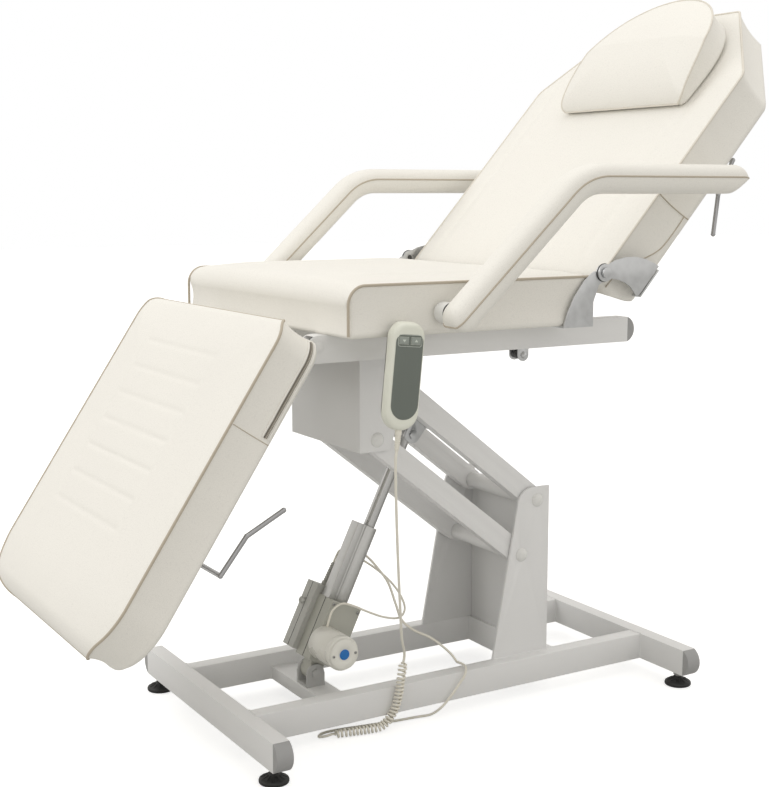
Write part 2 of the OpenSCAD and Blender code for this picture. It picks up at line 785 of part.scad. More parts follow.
module seat_cushion() {
  y0 = seat_front;
  y1 = seat_rear;
  color("ivory") skin([for (y = stations(y0, y1))
    let (half = min(corner(seat_w/2, seat_corner, y - y0), corner(seat_w/2, seat_corner/2, y1 - y)))
    cushion_ring(y, half, seat_board_z + board_t, seat_board_z + seat_t, crown*fade(y, y0, y1),
      seat_w/2 - fold_in, fold_d*fade(y, y0, y1))]);
}

// Hinge plates at the seat's rear, as shares of their width and height
horn_y = 130;
horn_w = 87;
horn_h = 97;
horn_under = 3;
horn_z = seat_board_z - horn_under;
horn_shares = [[0, 0], [0.09, 0.25], [0.24, 0.515], [0.505, 0.825], [0.75, 0.97], [0.98, 0.93], [1, 0.8],
  [0.862, 0.72], [0.735, 0.433], [0.735, 0]];
plate_t = 3;
plate_gap = 1;
plate_x = seat_w/2 + plate_gap;
plate_eye_r = 15;
flange_w = 48;
washer_t = 2;
hinge_pin_r = 5;
sickle_x = plate_x + plate_t + washer_t;
horn_foot_share = 0.735;
module seat_hinge_plates() {
  color("silver") both() {
    difference() {
      union() {
        translate([plate_x, 0, 0]) rotate([90, 0, 90]) linear_extrude(height = plate_t)
          polygon([for (s = horn_shares) [horn_y + s[0]*horn_w, horn_z + s[1]*horn_h]]);
        translate([plate_x, hinge_y, hinge_z]) bar(0, plate_t, plate_eye_r);
      }
      translate([0, hinge_y, hinge_z]) bar(0, 2*seat_w, hinge_pin_r + run_fit);
    }
    translate([plate_x - flange_w, horn_y, seat_board_z - plate_t])
      cube([flange_w, horn_w*horn_foot_share, plate_t]);
  }
}

plate_play = 1;
leg_plate_x = seat_rail_gap - plate_play - plate_t;
washer_r = 16;
pin_end = 1;
leg_bolt_head_r = 10;
module hinge_bolts() {
  color("dimgray") both() {
    translate([0, hinge_y, hinge_z]) {
      difference() {
        bar(plate_x + plate_t, plate_x + plate_t + washer_t - skin_gap, washer_r);
        bar(0, seat_w, hinge_pin_r);
      }
      bar(plate_x - pin_end, sickle_x + plate_t + skin_gap, hinge_pin_r);
      bar(sickle_x + plate_t + skin_gap, sickle_x + plate_t + skin_gap + bolt_head_h, bolt_head_r);
    }
    translate([0, leg_pivot_y, leg_pivot_z]) {
      bar(leg_plate_x - skin_gap, seat_rail_gap + tube_w, pivot_r);
      bar(leg_plate_x - skin_gap - bolt_head_h, leg_plate_x - skin_gap, leg_bolt_head_r);
      translate([seat_rail_gap + tube_w, 0, 0]) dome(leg_bolt_head_r, bolt_head_h/2);
    }
  }
}

// Hub discs that carry the armrests, each with its pin
hub_from = seat_w/2 + skin_gap;
hub_to = arm_pad_x - arm_pad_w/2 - skin_gap;
hub_pin_in = 22;
module armrest_hubs() {
  color("white") both() translate([0, arm_pivot_y, arm_pivot_z]) {
    bar(hub_from, hub_to, hub_r);
    bar(hub_to - cut, hub_to + hub_pin_in, hub_pin_r);
  }
}

// Small brackets under the seat: one pair of ears for each strut, and the hook of the hand control
strut_ear_r = strut_eye_r + strut_ear_t;
module strut_ears(x, y, z, top, pin_head) {
  difference() {
    translate([x, y, 0]) both() {
      translate([strut_ear_gap, 0, z]) bar(0, strut_ear_t, strut_ear_r);
      translate([strut_ear_gap, -strut_ear_r, z]) cube([strut_ear_t, 2*strut_ear_r, top - z]);
      translate([0, -strut_ear_r, top - strut_ear_t])
        cube([strut_ear_gap + strut_ear_t, strut_foot, strut_ear_t]);
    }
    translate([x, y, z]) bar(-2*strut_r, 2*strut_r, strut_pin_r + run_fit);
  }
  translate([x, y, z]) {
    bar(-strut_ear_gap - strut_ear_t, strut_ear_gap + strut_ear_t, strut_pin_r);
    both() translate([strut_ear_gap + strut_ear_t, 0, 0]) dome(strut_pin_r + strut_ear_t, pin_head);
  }
}
hook_flange = 30;
hook_y = handset_y + (hook_top - hook_drop)*sin(handset_tilt) - hook_w/2;
module seat_brackets() {
  color("silver") {
    strut_ears(0, back_strut_y, back_strut_z, seat_tube_z, bolt_head_h);
    strut_ears(leg_strut_x, leg_strut_y, leg_strut_z, seat_tube_z, bolt_head_h);
    translate([hook_x - hook_flange, hook_y, seat_board_z - hook_t])
      cube([hook_flange + hook_t, hook_w, hook_t]);
    translate([hook_x, hook_y, seat_board_z - hook_t]) cube([hook_t, hook_w, hook_rise]);
  }
}

// Backrest in its own frame: y runs up the back, z towards the sitter
back_end_slant = 36;
slant_share = 0.9;
function back_half(y) = min(y > back_len - head_taper
  ? back_w/2 - (back_w - head_w)/2*(y - back_len + head_taper)/head_taper : back_w/2,
  corner(back_w/2, back_corner, y + back_tail));
function back_base(y) =
  back_low + max(0, back_t - back_set - slant_share*(y + back_tail)*back_t/back_end_slant);
back_foot_shares = [0, 0.11, 0.28, 0.61, 1.06];
back_body_shares = [0.17, 0.32, 0.52, 0.71, 0.9, 1];
head_shares = [0.23, 0.45, 0.67, 0.824, 0.912, 0.967, 1];
back_stations = concat([for (s = back_foot_shares) s*back_end_slant - back_tail],
  [for (s = back_body_shares) s*(back_len - head_taper)],
  [for (s = head_shares) back_len - (1 - s)*head_taper]);

// The board stops short of the head, so that the cushion wraps over its end
board_short = 16;
board_stations = concat([for (y = back_stations)
  if (y > back_end_slant - back_tail && y < back_len - board_short) y], [back_len - board_short]);

module back_board() {
  color("ivory") at_back() translate([0, 0, back_low]) linear_extrude(height = board_t)
    polygon(concat([for (y = board_stations) [back_half(y), y]],
      [for (i = [len(board_stations) - 1 : -1 : 0]) [-back_half(board_stations[i]), board_stations[i]]]));
}

module back_cushion() {
  color("ivory") at_back() skin([for (y = back_stations)
    let (rise = crown*fade(max(y, 0), 0, back_len), low = max(back_base(y), back_low + board_t))
    cushion_ring(y, back_half(y), low, -back_set, max(0, rise), back_w/2 - fold_in,
      fold_d*fade(max(y, 0), 0, back_len))]);
}

// Sickle plates that carry the backrest, as shares of their length and depth
sickle_len = 86;
sickle_shares = [[0.11, 0.08], [0.35, -0.03], [0.56, -0.18], [0.73, -0.36], [0.88, -0.6], [0.97, -0.84],
  [1, -0.97], [0.19, -0.97], [0.22, -0.68], [0.18, -0.5], [0.114, -0.343], [0.02, -0.2], [-0.09, -0.15]];
sickle_foot_shares = [0.24, 0.94];
lever_ear_t = 4;
lever_ear_half = 20;
lever_ears = [60, 110];
stub_ear_x = 13;
stub_gap = 2;
// Ears behind a board: two pairs of cheeks for the strut and the release lever
module lever_mount(along_y, out, plane, strut_x) {
  for (x = lever_ears) difference() {
    translate([x - lever_ear_t/2, along_y - lever_ear_half, out - lever_ear_half/2])
      cube([lever_ear_t, 2*lever_ear_half, plane - out + lever_ear_half/2]);
    translate([x, along_y, out]) bar(-lever_ear_t, lever_ear_t, lever_d/2 + run_fit);
  }
  translate([strut_x, along_y, 0]) both() {
    translate([stub_ear_x - lever_ear_t/2, -lever_ear_half, out - lever_ear_half/2])
      cube([lever_ear_t, 2*lever_ear_half, plane - out + lever_ear_half/2]);
    translate([0, 0, out]) bar(strut_eye_half + stub_gap, stub_ear_x, strut_pin_r);
    translate([stub_ear_x + lever_ear_t/2, 0, out]) dome(strut_pin_r + strut_ear_t, bolt_head_h);
  }
  translate([strut_x - stub_ear_x - lever_ear_t, along_y - lever_ear_half, plane - plate_t])
    cube([lever_ears[1] + lever_ear_t - strut_x + stub_ear_x + lever_ear_t, 2*lever_ear_half, plate_t]);
}
module back_hinge_plates() {
  depth = back_t + back_set;
  color("silver") at_back() {
    both() {
      difference() {
        union() {
          translate([sickle_x, 0, 0]) rotate([90, 0, 90]) linear_extrude(height = plate_t)
            polygon([for (s = sickle_shares) [s[0]*sickle_len, s[1]*depth]]);
          translate([sickle_x, 0, 0]) bar(0, plate_t, plate_eye_r);
        }
        translate([sickle_x, 0, 0]) bar(-cut, plate_t + cut, hinge_pin_r + run_fit);
      }
      translate([back_w/2 - flange_w, sickle_foot_shares[0]*sickle_len, back_low - plate_t])
        cube([sickle_x + plate_t - back_w/2 + flange_w,
          (sickle_foot_shares[1] - sickle_foot_shares[0])*sickle_len, plate_t]);
    }
    lever_mount(back_lever_up, -back_lever_out, back_low, 0);
  }
}

// Pillow: half-moon outline on the front of the back
pillow_soft = 18;
pillow_corner_share = 0.07;
pillow_tip_share = 0.04;
pillow_power = 3;
pillow_lean_share = 0.107;
pillow_inner_share = 0.7;
function pillow_half(y) = pillow_w/2*(y < pillow_soft
  ? 1 - pillow_corner_share*(1 - sqrt(max(0, 1 - pow(1 - y/pillow_soft, 2))))
  : sqrt(max(pow(pillow_tip_share, 2), 1 - pow((y - pillow_soft)/(pillow_len - pillow_soft), pillow_power))));
pillow_shares = [0, 0.02, 0.06, 0.14, 0.26, 0.4, 0.54, 0.67, 0.78, 0.87, 0.93, 0.97, 0.99, 1];
pillow_seat = crown - back_set + skin_gap;
module pillow() {
  color("ivory") at_back() translate([pillow_x, pillow_from, 0]) skin([for (s = pillow_shares)
    let (y = s*pillow_len, half = pillow_half(y), grown = sqrt(min(1, 2*s)))
    let (thick = pillow_thin + (pillow_thick - pillow_thin)*grown)
    [for (p = cushion_ring(y, half, pillow_seat, pillow_seat + thick,
      crown*fade(y, 0, pillow_len), half*pillow_inner_share, 0)) p + [pillow_lean_share*y, 0, 0]]]);
}

// Leg rest in its own frame: y runs from the foot end up to the knee, z towards the sitter
leg_knee = 2;
function leg_half(y) =
  min(corner(leg_w/2, leg_foot_r, y + leg_len), corner(leg_w/2, leg_knee_r, leg_knee - y));
function leg_top(y) =
  min(corner(leg_high, leg_toe_r, y + leg_len), corner(leg_high, seat_corner/2, leg_knee - y));
leg_rows = 7;
leg_row_from = -400;
leg_row_step = 52;
leg_row_dip = 1.5;
leg_row_w = 9;
leg_toe_shares = [0, 0.004, 0.012, 0.026, 0.045, 0.07, 0.1, 0.135, 0.17, 0.24];
leg_knee_shares = [0.105, 0.075, 0.048, 0.024, 0.01, 0];
leg_stations = concat([for (s = leg_toe_shares) -leg_len + s*leg_len],
  [for (i = [0 : leg_rows - 1]) for (k = [-1, 0, 1]) leg_row_from + i*leg_row_step + k*leg_row_w],
  [for (s = leg_knee_shares) -s*leg_len], [leg_knee]);
function row_dip(y) = let (i = round((y - leg_row_from)/leg_row_step))
  i < 0 || i >= leg_rows || abs(y - leg_row_from - i*leg_row_step) > leg_row_w/2 ? 0 : leg_row_dip;

module leg_board() {
  color("ivory") at_leg() translate([0, 0, leg_lift]) linear_extrude(height = board_t)
    polygon(board_shape(leg_w/2, -leg_len, leg_knee, leg_foot_r, leg_knee_r));
}
module leg_cushion() {
  color("ivory") at_leg() skin([for (y = leg_stations)
    cushion_ring(y, leg_half(y), leg_lift + board_t, leg_top(y) - row_dip(y),
      crown*fade(y, -leg_len, leg_knee), leg_w/2 - fold_in, 0)]);
}

leg_plate_len = 90;
leg_plate_r = 17;
leg_plate_down = 18;
module leg_brackets() {
  color("silver") at_leg() {
    both() difference() {
      union() {
        translate([leg_plate_x, 0, 0]) bar(0, plate_t, leg_plate_r);
        translate([leg_plate_x, -leg_plate_len, -leg_plate_r])
          cube([plate_t, leg_plate_len, leg_plate_r + leg_lift - plate_t]);
        translate([leg_plate_x, -leg_plate_len, leg_lift - plate_t])
          cube([flange_w, leg_plate_len - leg_plate_down, plate_t]);
      }
      translate([leg_plate_x, 0, 0]) bar(-cut, plate_t + cut, pivot_r + run_fit);
    }
    lever_mount(-leg_lever_down, -leg_lever_out, leg_lift, leg_strut_x);
  }
}

// Bent release lever of round bar: cross part along X, then two bends
lever_from = 30;
module lever(bend_a, bend_b) {
  p = [[0, 0], [lever_leg*cos(bend_a), lever_leg*sin(bend_a)],
    [lever_leg*(cos(bend_a) + cos(bend_b)), lever_leg*(sin(bend_a) + sin(bend_b))]];
  bar(lever_from, lever_reach, lever_d/2);
  for (i = [0, 1]) translate([lever_reach, p[i][0], p[i][1]]) {
    sphere(r = lever_d/2 + skin_gap, $fn = smooth);
    rotate([[bend_a, bend_b][i] - 90, 0, 0]) cylinder(h = lever_leg, r = lever_d/2, $fn = smooth);
  }
  translate([lever_reach, p[2][0], p[2][1]]) sphere(r = lever_d/2 + skin_gap, $fn = smooth);
}
// Slopes of the two bends, in the frame of the rest that carries the lever
back_bends = [-166, -145];
leg_bends = [-5, -29];
module back_lever() {
  color("silver") at_back() translate([0, back_lever_up, -back_lever_out])
    lever(back_bends[0], back_bends[1]);
}
module leg_lever() {
  color("silver") at_leg() translate([0, -leg_lever_down, -leg_lever_out]) lever(leg_bends[0], leg_bends[1]);
}

// Gas struts: cylinder from its lower eye, rod up to the lever's cross bar
module strut_cylinder(len) {
  difference() {
    union() {
      bar(-strut_eye_half, strut_eye_half, strut_eye_r);
      cylinder(h = strut_cap, r = strut_eye_r - strut_ear_t/2, $fn = smooth);
      translate([0, 0, strut_cap]) cylinder(h = len - strut_cap, r = strut_r, $fn = smooth);
    }
    bar(-2*strut_r, 2*strut_r, strut_pin_r + run_fit);
    translate([0, 0, strut_cap + strut_cap/2]) cylinder(h = len, r = strut_rod_r + run_fit, $fn = smooth);
  }
}
// Rod with an eye between the ears, whose stub bolts don't reach it
module strut_rod(len, from) {
  translate([0, 0, from]) cylinder(h = len - from, r = strut_rod_r, $fn = smooth);
  translate([0, 0, len]) bar(-strut_eye_half, strut_eye_half, strut_eye_r);
}
back_pin_y = hinge_y + back_lever_up*cos(back_slope) + back_lever_out*sin(back_slope);
back_pin_z = hinge_z + back_lever_up*sin(back_slope) - back_lever_out*cos(back_slope);
leg_pin_y = leg_pivot_y - leg_lever_down*cos(leg_slope) + leg_lever_out*sin(leg_slope);
leg_pin_z = leg_pivot_z - leg_lever_down*sin(leg_slope) - leg_lever_out*cos(leg_slope);
back_strut_len = norm([back_pin_y - back_strut_y, back_pin_z - back_strut_z]);
leg_strut_len = norm([leg_pin_y - leg_strut_y, leg_pin_z - leg_strut_z]);
module at_back_strut() {
  translate([0, back_strut_y, back_strut_z])
    rotate([-atan2(back_pin_y - back_strut_y, back_pin_z - back_strut_z), 0, 0]) children();
}
module at_leg_strut() {
  translate([leg_strut_x, leg_strut_y, leg_strut_z])
    rotate([-atan2(leg_pin_y - leg_strut_y, leg_pin_z - leg_strut_z), 0, 0]) children();
}
module back_strut_cylinder() { color("black") at_back_strut() strut_cylinder(back_strut_body); }
module back_strut_rod() {
  color("silver") at_back_strut() strut_rod(back_strut_len, back_strut_body - back_strut_tuck);
}
module leg_strut_cylinder() { color("black") at_leg_strut() strut_cylinder(leg_strut_body); }
module leg_strut_rod() {
  color("silver") at_leg_strut() strut_rod(leg_strut_len, leg_strut_body - leg_strut_tuck);
}

// Armrests: one upholstered bar bent at the elbow
arm_angle = atan2(arm_level_z - arm_pivot_z, arm_corner_y - arm_pivot_y);
arm_cut = arm_bend_r*tan(arm_angle/2);
arm_rise = norm([arm_level_z - arm_pivot_z, arm_corner_y - arm_pivot_y]) - arm_cut;
arm_arc = arm_bend_r*arm_angle*PI/180;
arm_total = arm_heel + arm_rise + arm_arc + arm_tip_y - arm_corner_y - arm_cut;
// Place and slope on the middle line at a distance from the heel
function arm_line(d) =
  let (s = d - arm_heel, f = s - arm_rise, g = f - arm_arc, a = arm_angle*(1 - f/arm_arc))
  s <= arm_rise ? [arm_pivot_y + s*cos(arm_angle), arm_pivot_z + s*sin(arm_angle), arm_angle]
  : g >= 0 ? [arm_corner_y + arm_cut + g, arm_level_z, 0]
  : [arm_corner_y + arm_cut - arm_bend_r*sin(a), arm_level_z - arm_bend_r*(1 - cos(a)), a];
// Section across an armrest, as shares of its half width and half thickness
arm_shares = [[1, -0.5], [0.86, -0.92], [0.6, -1], [-0.6, -1], [-0.86, -0.92], [-1, -0.5], [-1, 0.12],
  [-0.93, 0.5], [-0.7, 0.82], [-0.3, 0.98], [0.3, 0.98], [0.7, 0.82], [0.93, 0.5], [1, 0.12]];
arm_heel_shares = [0, 0.06, 0.2, 0.42, 0.7, 1];
arm_end_r = 22;
arm_bend_steps = 6;
arm_stations = concat([for (s = arm_heel_shares) s*arm_pad_t/2],
  [for (i = [0 : arm_bend_steps]) arm_heel + arm_rise + arm_arc*i/arm_bend_steps],
  [for (i = [len(arm_heel_shares) - 1 : -1 : 0]) arm_total - arm_heel_shares[i]*arm_end_r]);
arm_end_share = 0.1;
arm_blunt_share = 0.55;
function round_end(d, r) = d >= r ? 1 : sqrt(max(pow(arm_end_share, 2), 1 - pow(1 - d/r, 2)));
function blunt(share) = arm_blunt_share + (1 - arm_blunt_share)*share;
module armrest_bar() {
  skin([for (d = arm_stations)
    let (p = arm_line(d), t = arm_pad_t/2*min(round_end(d, arm_pad_t/2), round_end(arm_total - d, arm_end_r)))
    let (w = arm_pad_w/2*blunt(min(round_end(d, arm_pad_t/4), round_end(arm_total - d, arm_end_r))))
    [for (s = arm_shares) [arm_pad_x + s[0]*w, p[0] - s[1]*t*sin(p[2]), p[1] + s[1]*t*cos(p[2])]]]);
}
module armrest() {
  difference() {
    armrest_bar();
    translate([0, arm_pivot_y, arm_pivot_z])
      bar(arm_pad_x - arm_pad_w, hub_to + hub_pin_in + cut, hub_pin_r + run_fit);
  }
}
module armrest_left() { color("ivory") armrest(); }
module armrest_right() { color("ivory") mirror([1, 0, 0]) armrest(); }

// Hand control in its own frame: y across its face, z up its length, x out from the seat
module handset_slab(x, t, half, z0, z1, r0, r1) {
  translate([x, 0, 0]) rotate([90, 0, 90]) linear_extrude(height = t)
    polygon(board_shape(half, z0, z1, r0, r1));
}
module button_box(side, grow, x, t) {
  translate([x, side*button_gap/2 - button_w/2 - grow, button_up_z - button_h/2 - grow])
    cube([t, button_w + 2*grow, button_h + 2*grow]);
}
button_deep = 4;
module handset_shell() {
  color("honeydew") at_handset() {
    difference() {
      handset_slab(0, handset_t, handset_w/2, 0, handset_len, shell_end_r, handset_end_r);
      handset_slab(handset_t - face_t, face_t + cut, face_w/2, face_up, face_up + face_len, face_end_r,
        face_corner);
      for (s = [-1, 1]) button_box(s, loose, handset_t - button_deep, button_deep + cut);
      translate([handset_t/2, 0, -cut]) cylinder(h = relief_len, r = cord_r + skin_gap, $fn = smooth);
    }
    translate([handset_t/2, 0, -relief_len]) difference() {
      cylinder(h = relief_len + cut, r1 = relief_tip_r, r2 = relief_r, $fn = smooth);
      translate([0, 0, -cut]) cylinder(h = 2*relief_len, r = cord_r + skin_gap, $fn = smooth);
    }
    translate([hook_x - handset_x - hook_t - loose, -hook_w/2, 0]) {
      translate([0, 0, hook_top - hook_grip]) cube([hook_t, hook_w, hook_grip + 2*loose]);
      translate([0, 0, hook_top + loose]) cube([handset_x - hook_x + hook_t + loose + cut, hook_w, hook_t]);
    }
  }
}
module handset_face() {
  color("darkslategray") at_handset() difference() {
    handset_slab(handset_t - face_t, face_t, face_w/2 - loose/2, face_up + loose/2,
      face_up + face_len - loose/2, face_end_r - loose/2, face_corner - loose/2);
    for (s = [-1, 1]) button_box(s, loose, 0, 2*handset_t);
  }
}
module button(side) {
  at_handset() button_box(side, 0, handset_t - button_deep + button_travel + skin_gap,
    button_deep - button_travel - skin_gap + button_proud);
}
module button_up() { color("lightgray") button(1); }
module button_down() { color("lightgray") button(-1); }

// Actuator in its own frame: z runs up the push rod, y to the rear
profile_from = 30;
profile_back = 31;
profile_half = 13;
groove = 3;
rod_play = 0.3;
bore_from = 40;
screw_r = 5;
rod_bore_r = 6.5;
lug_half = 14;
lug_r = 14;
gear_from = 20;
gear_to = 135;
gear_front = 30;
gear_rear = 35;
gear_near = 28;
gear_far = 24;
motor_up = 58;
motor_fore = 16;
box_near = 24;
box_far = 62;
box_from = 25;
box_to = 150;
box_front = 40;
box_rear = 15;
module actuator_tube() {
  color("lightgray") at_actuator() difference() {
    union() {
      translate([0, 0, gear_to]) cylinder(h = profile_end - gear_to, r = profile_r, $fn = smooth);
      translate([-profile_half, -profile_back, gear_to])
        cube([2*profile_half, profile_back, profile_end - gear_to]);
    }
    translate([0, 0, gear_to - cut]) cylinder(h = profile_end, r = rod_r + rod_play, $fn = smooth);
    for (s = [-1, 1]) translate([s*profile_half, -profile_r, gear_to - cut])
      cylinder(h = profile_end, r = groove, $fn = smooth);
  }
}
module gearbox() {
  color("lightgray") at_actuator() difference() {
    union() {
      translate([-gear_far, -gear_front, gear_from])
        cube([gear_far + gear_near, gear_front + gear_rear, gear_to - gear_from]);
      bar(-lug_half, lug_half, lug_r);
      translate([-lug_half, -lug_r, 0]) cube([2*lug_half, 2*lug_r, gear_from + cut]);
    }
    bar(-2*gear_near, 2*gear_near, act_pin_r + run_fit);
    translate([0, 0, bore_from]) cylinder(h = gear_to, r = rod_r + rod_play, $fn = smooth);
    translate([0, 0, profile_from]) cylinder(h = gear_to, r = screw_r + run_fit, $fn = smooth);
  }
}
motor_step = 6;
motor_cap_r = 28;
motor_hole_r = 2;
motor_hole_shares = [0.7, 0.35];
module motor() {
  color("antiquewhite") at_actuator() translate([gear_near, -motor_fore, motor_up]) difference() {
    union() {
      bar(0, motor_len - motor_step, motor_r);
      bar(motor_len - motor_step, motor_len, motor_cap_r);
    }
    for (s = [-1, 1]) translate([0, s*motor_cap_r*motor_hole_shares[0], s*motor_cap_r*motor_hole_shares[1]])
      bar(motor_len - motor_step, motor_len + cut, motor_hole_r);
  }
}
socket_r = 7;
eyelet_r = 7;
eyelet_hole_r = 3.5;
eyelet_up = 111;
module control_box() {
  color("silver") at_actuator() {
    difference() {
      translate([-box_far, -box_front, box_from])
        cube([box_far - box_near, box_front + box_rear, box_to - box_from]);
      for (p = plug_places) translate([p[0], p[1], box_to - 2*socket_r])
        cylinder(h = box_to, r = socket_r + run_fit, $fn = smooth);
    }
    translate([box_near/2 - box_far, -box_front - eyelet_hole_r, eyelet_up]) difference() {
      bar(0, eyelet_hole_r, eyelet_r);
      bar(-cut, box_far, eyelet_hole_r);
    }
  }
}
// Plugs stand in the top of the control box: the hand control's and the motor's
plug_places = [[-35, -8], [-53, -8]];
plug_len = 38;
plug_tip_r = 4;
plug_neck_r = 6;
module cord_plugs() {
  color("dimgray") at_actuator() for (p = plug_places) translate([p[0], p[1], box_to - 2*socket_r])
    difference() {
      union() {
        cylinder(h = 3*socket_r, r = socket_r, $fn = smooth);
        translate([0, 0, 3*socket_r]) cylinder(h = plug_len, r1 = plug_neck_r, r2 = plug_tip_r, $fn = smooth);
      }
      translate([0, 0, 2*socket_r + plug_len]) cylinder(h = plug_len, r = cord_r + skin_gap, $fn = smooth);
    }
}
module lead_screw() {
  color("silver") at_actuator() translate([0, 0, profile_from])
    cylinder(h = profile_end - 2*profile_from, r = screw_r, $fn = smooth);
}
rod_eye_r = 12;
module actuator_rod() {
  color("silver") at_actuator() difference() {
    union() {
      translate([0, 0, act_len - rod_len]) cylinder(h = rod_len, r = rod_r, $fn = smooth);
      translate([0, 0, act_len]) bar(-rod_eye_half, rod_eye_half, rod_eye_r);
    }
    translate([0, 0, act_len]) bar(-2*rod_eye_half, 2*rod_eye_half, act_pin_r + run_fit);
    translate([0, 0, act_len - rod_len - cut])
      cylinder(h = rod_len - rod_eye_r, r = rod_bore_r, $fn = smooth);
  }
}

// Cords
module handset_cord_upper() { color("linen") cord(spaced(upper_route, upper_rings), cord_r, cord_sides); }
module handset_cord_coil() { color("linen") cord(curl_points, curl_r, curl_sides); }
module handset_cord_floor() { color("linen") cord(spaced(floor_route, floor_rings), cord_r, cord_sides); }
module handset_cord_rise() { color("linen") cord(spaced(rise_route, rise_rings), cord_r, cord_sides); }
module motor_lead() { color("linen") cord(spaced(motor_route, lead_rings), lead_r, cord_sides); }

side_rails();
cross_beams();
base_crossbars();
beam_end_caps();
tower_plates();
tower_web();
tower_pivot_bolts();
actuator_bracket();
foot_front_left();
foot_front_right();
foot_rear_left();
foot_rear_right();
upper_lift_arms();
upper_torque_tube();
clevis_bracket();
lower_lift_arms();
lower_torque_tube();
seat_rails();
seat_crossbars();
front_bracket();
bracket_pivot_bolts();
seat_rail_caps();
seat_board();
seat_cushion();
seat_hinge_plates();
hinge_bolts();
armrest_hubs();
seat_brackets();
back_board();
back_cushion();
back_hinge_plates();
pillow();
back_lever();
back_strut_cylinder();
back_strut_rod();
leg_board();
leg_cushion();
leg_brackets();
leg_lever();
leg_strut_cylinder();
leg_strut_rod();
armrest_left();
armrest_right();
handset_shell();
handset_face();
button_up();
button_down();
actuator_tube();
gearbox();
motor();
control_box();
cord_plugs();
lead_screw();
actuator_rod();
motor_lead();
handset_cord_upper();
handset_cord_coil();
handset_cord_floor();
handset_cord_rise();
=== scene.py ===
# Podiatry chair: motor lift, hinged back and leg rest, swinging armrests, curly-corded hand control.
# The sitter faces -Y, X runs across the chair and the floor is at z = 0. The scene is in metres, and
# the pieces' sizes are written in millimetres and multiplied by mm.
import json
import math

import bmesh
import bpy
import numpy as np
from mathutils import Matrix, Vector

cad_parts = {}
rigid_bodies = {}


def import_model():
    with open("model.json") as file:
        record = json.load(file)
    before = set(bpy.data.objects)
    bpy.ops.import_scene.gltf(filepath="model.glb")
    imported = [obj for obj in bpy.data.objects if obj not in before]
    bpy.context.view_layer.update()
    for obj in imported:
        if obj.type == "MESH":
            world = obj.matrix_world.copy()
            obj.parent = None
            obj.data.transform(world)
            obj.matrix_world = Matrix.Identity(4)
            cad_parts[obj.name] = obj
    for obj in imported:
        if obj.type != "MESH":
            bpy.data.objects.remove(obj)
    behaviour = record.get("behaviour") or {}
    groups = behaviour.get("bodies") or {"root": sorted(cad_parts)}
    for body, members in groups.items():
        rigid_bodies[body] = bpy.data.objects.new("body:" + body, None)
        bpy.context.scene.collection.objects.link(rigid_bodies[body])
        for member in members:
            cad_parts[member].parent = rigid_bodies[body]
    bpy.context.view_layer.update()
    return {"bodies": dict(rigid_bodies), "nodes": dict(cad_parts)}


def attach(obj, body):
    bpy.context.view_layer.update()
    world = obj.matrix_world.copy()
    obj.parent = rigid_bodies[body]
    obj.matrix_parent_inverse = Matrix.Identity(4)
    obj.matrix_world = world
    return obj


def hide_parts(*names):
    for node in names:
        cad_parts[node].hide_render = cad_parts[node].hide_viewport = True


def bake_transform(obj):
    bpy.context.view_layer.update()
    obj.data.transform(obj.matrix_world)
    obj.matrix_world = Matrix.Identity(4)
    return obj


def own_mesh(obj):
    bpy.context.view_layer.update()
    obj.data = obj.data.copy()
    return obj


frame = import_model()
nodes = frame["nodes"]
mm = 0.001

# Camera
# It stands off the near front corner, a little above the seat, where the picture's perspective
# puts it. The picture is 787 pixels high.
picture_high = 787
focal_px = 1376.75
film_high = 36.0
eye_place = Vector((2140.7, -1314.6, 943.3)) * mm
eye_turn, eye_rise = math.radians(59.09), math.radians(8.38)
lens = bpy.data.cameras.new("camera")
lens.sensor_fit = "VERTICAL"
lens.sensor_height = film_high
lens.lens = film_high * focal_px / picture_high
eye = bpy.data.objects.new("camera", lens)
eye_back = Vector((math.sin(eye_turn) * math.cos(eye_rise), -math.cos(eye_turn) * math.cos(eye_rise),
                   math.sin(eye_rise)))
eye.matrix_world = Matrix.Translation(eye_place) @ eye_back.to_track_quat("Z", "Y").to_matrix().to_4x4()
bpy.context.scene.collection.objects.link(eye)
bpy.context.scene.camera = eye

# Floor and light
# A wide pale floor that goes over into a white sky, under a broad soft light high in front of the
# sitter and a weaker one above, so the sides of the cushions lie in soft shade.
bump_depth = 0.3 * mm
gloss_spread = 0.15
# crease_shade_tone is painted shade: it darkens the leather cells' creases in the base colour.
crease_width, crease_shade_tone = 0.12, 0.9


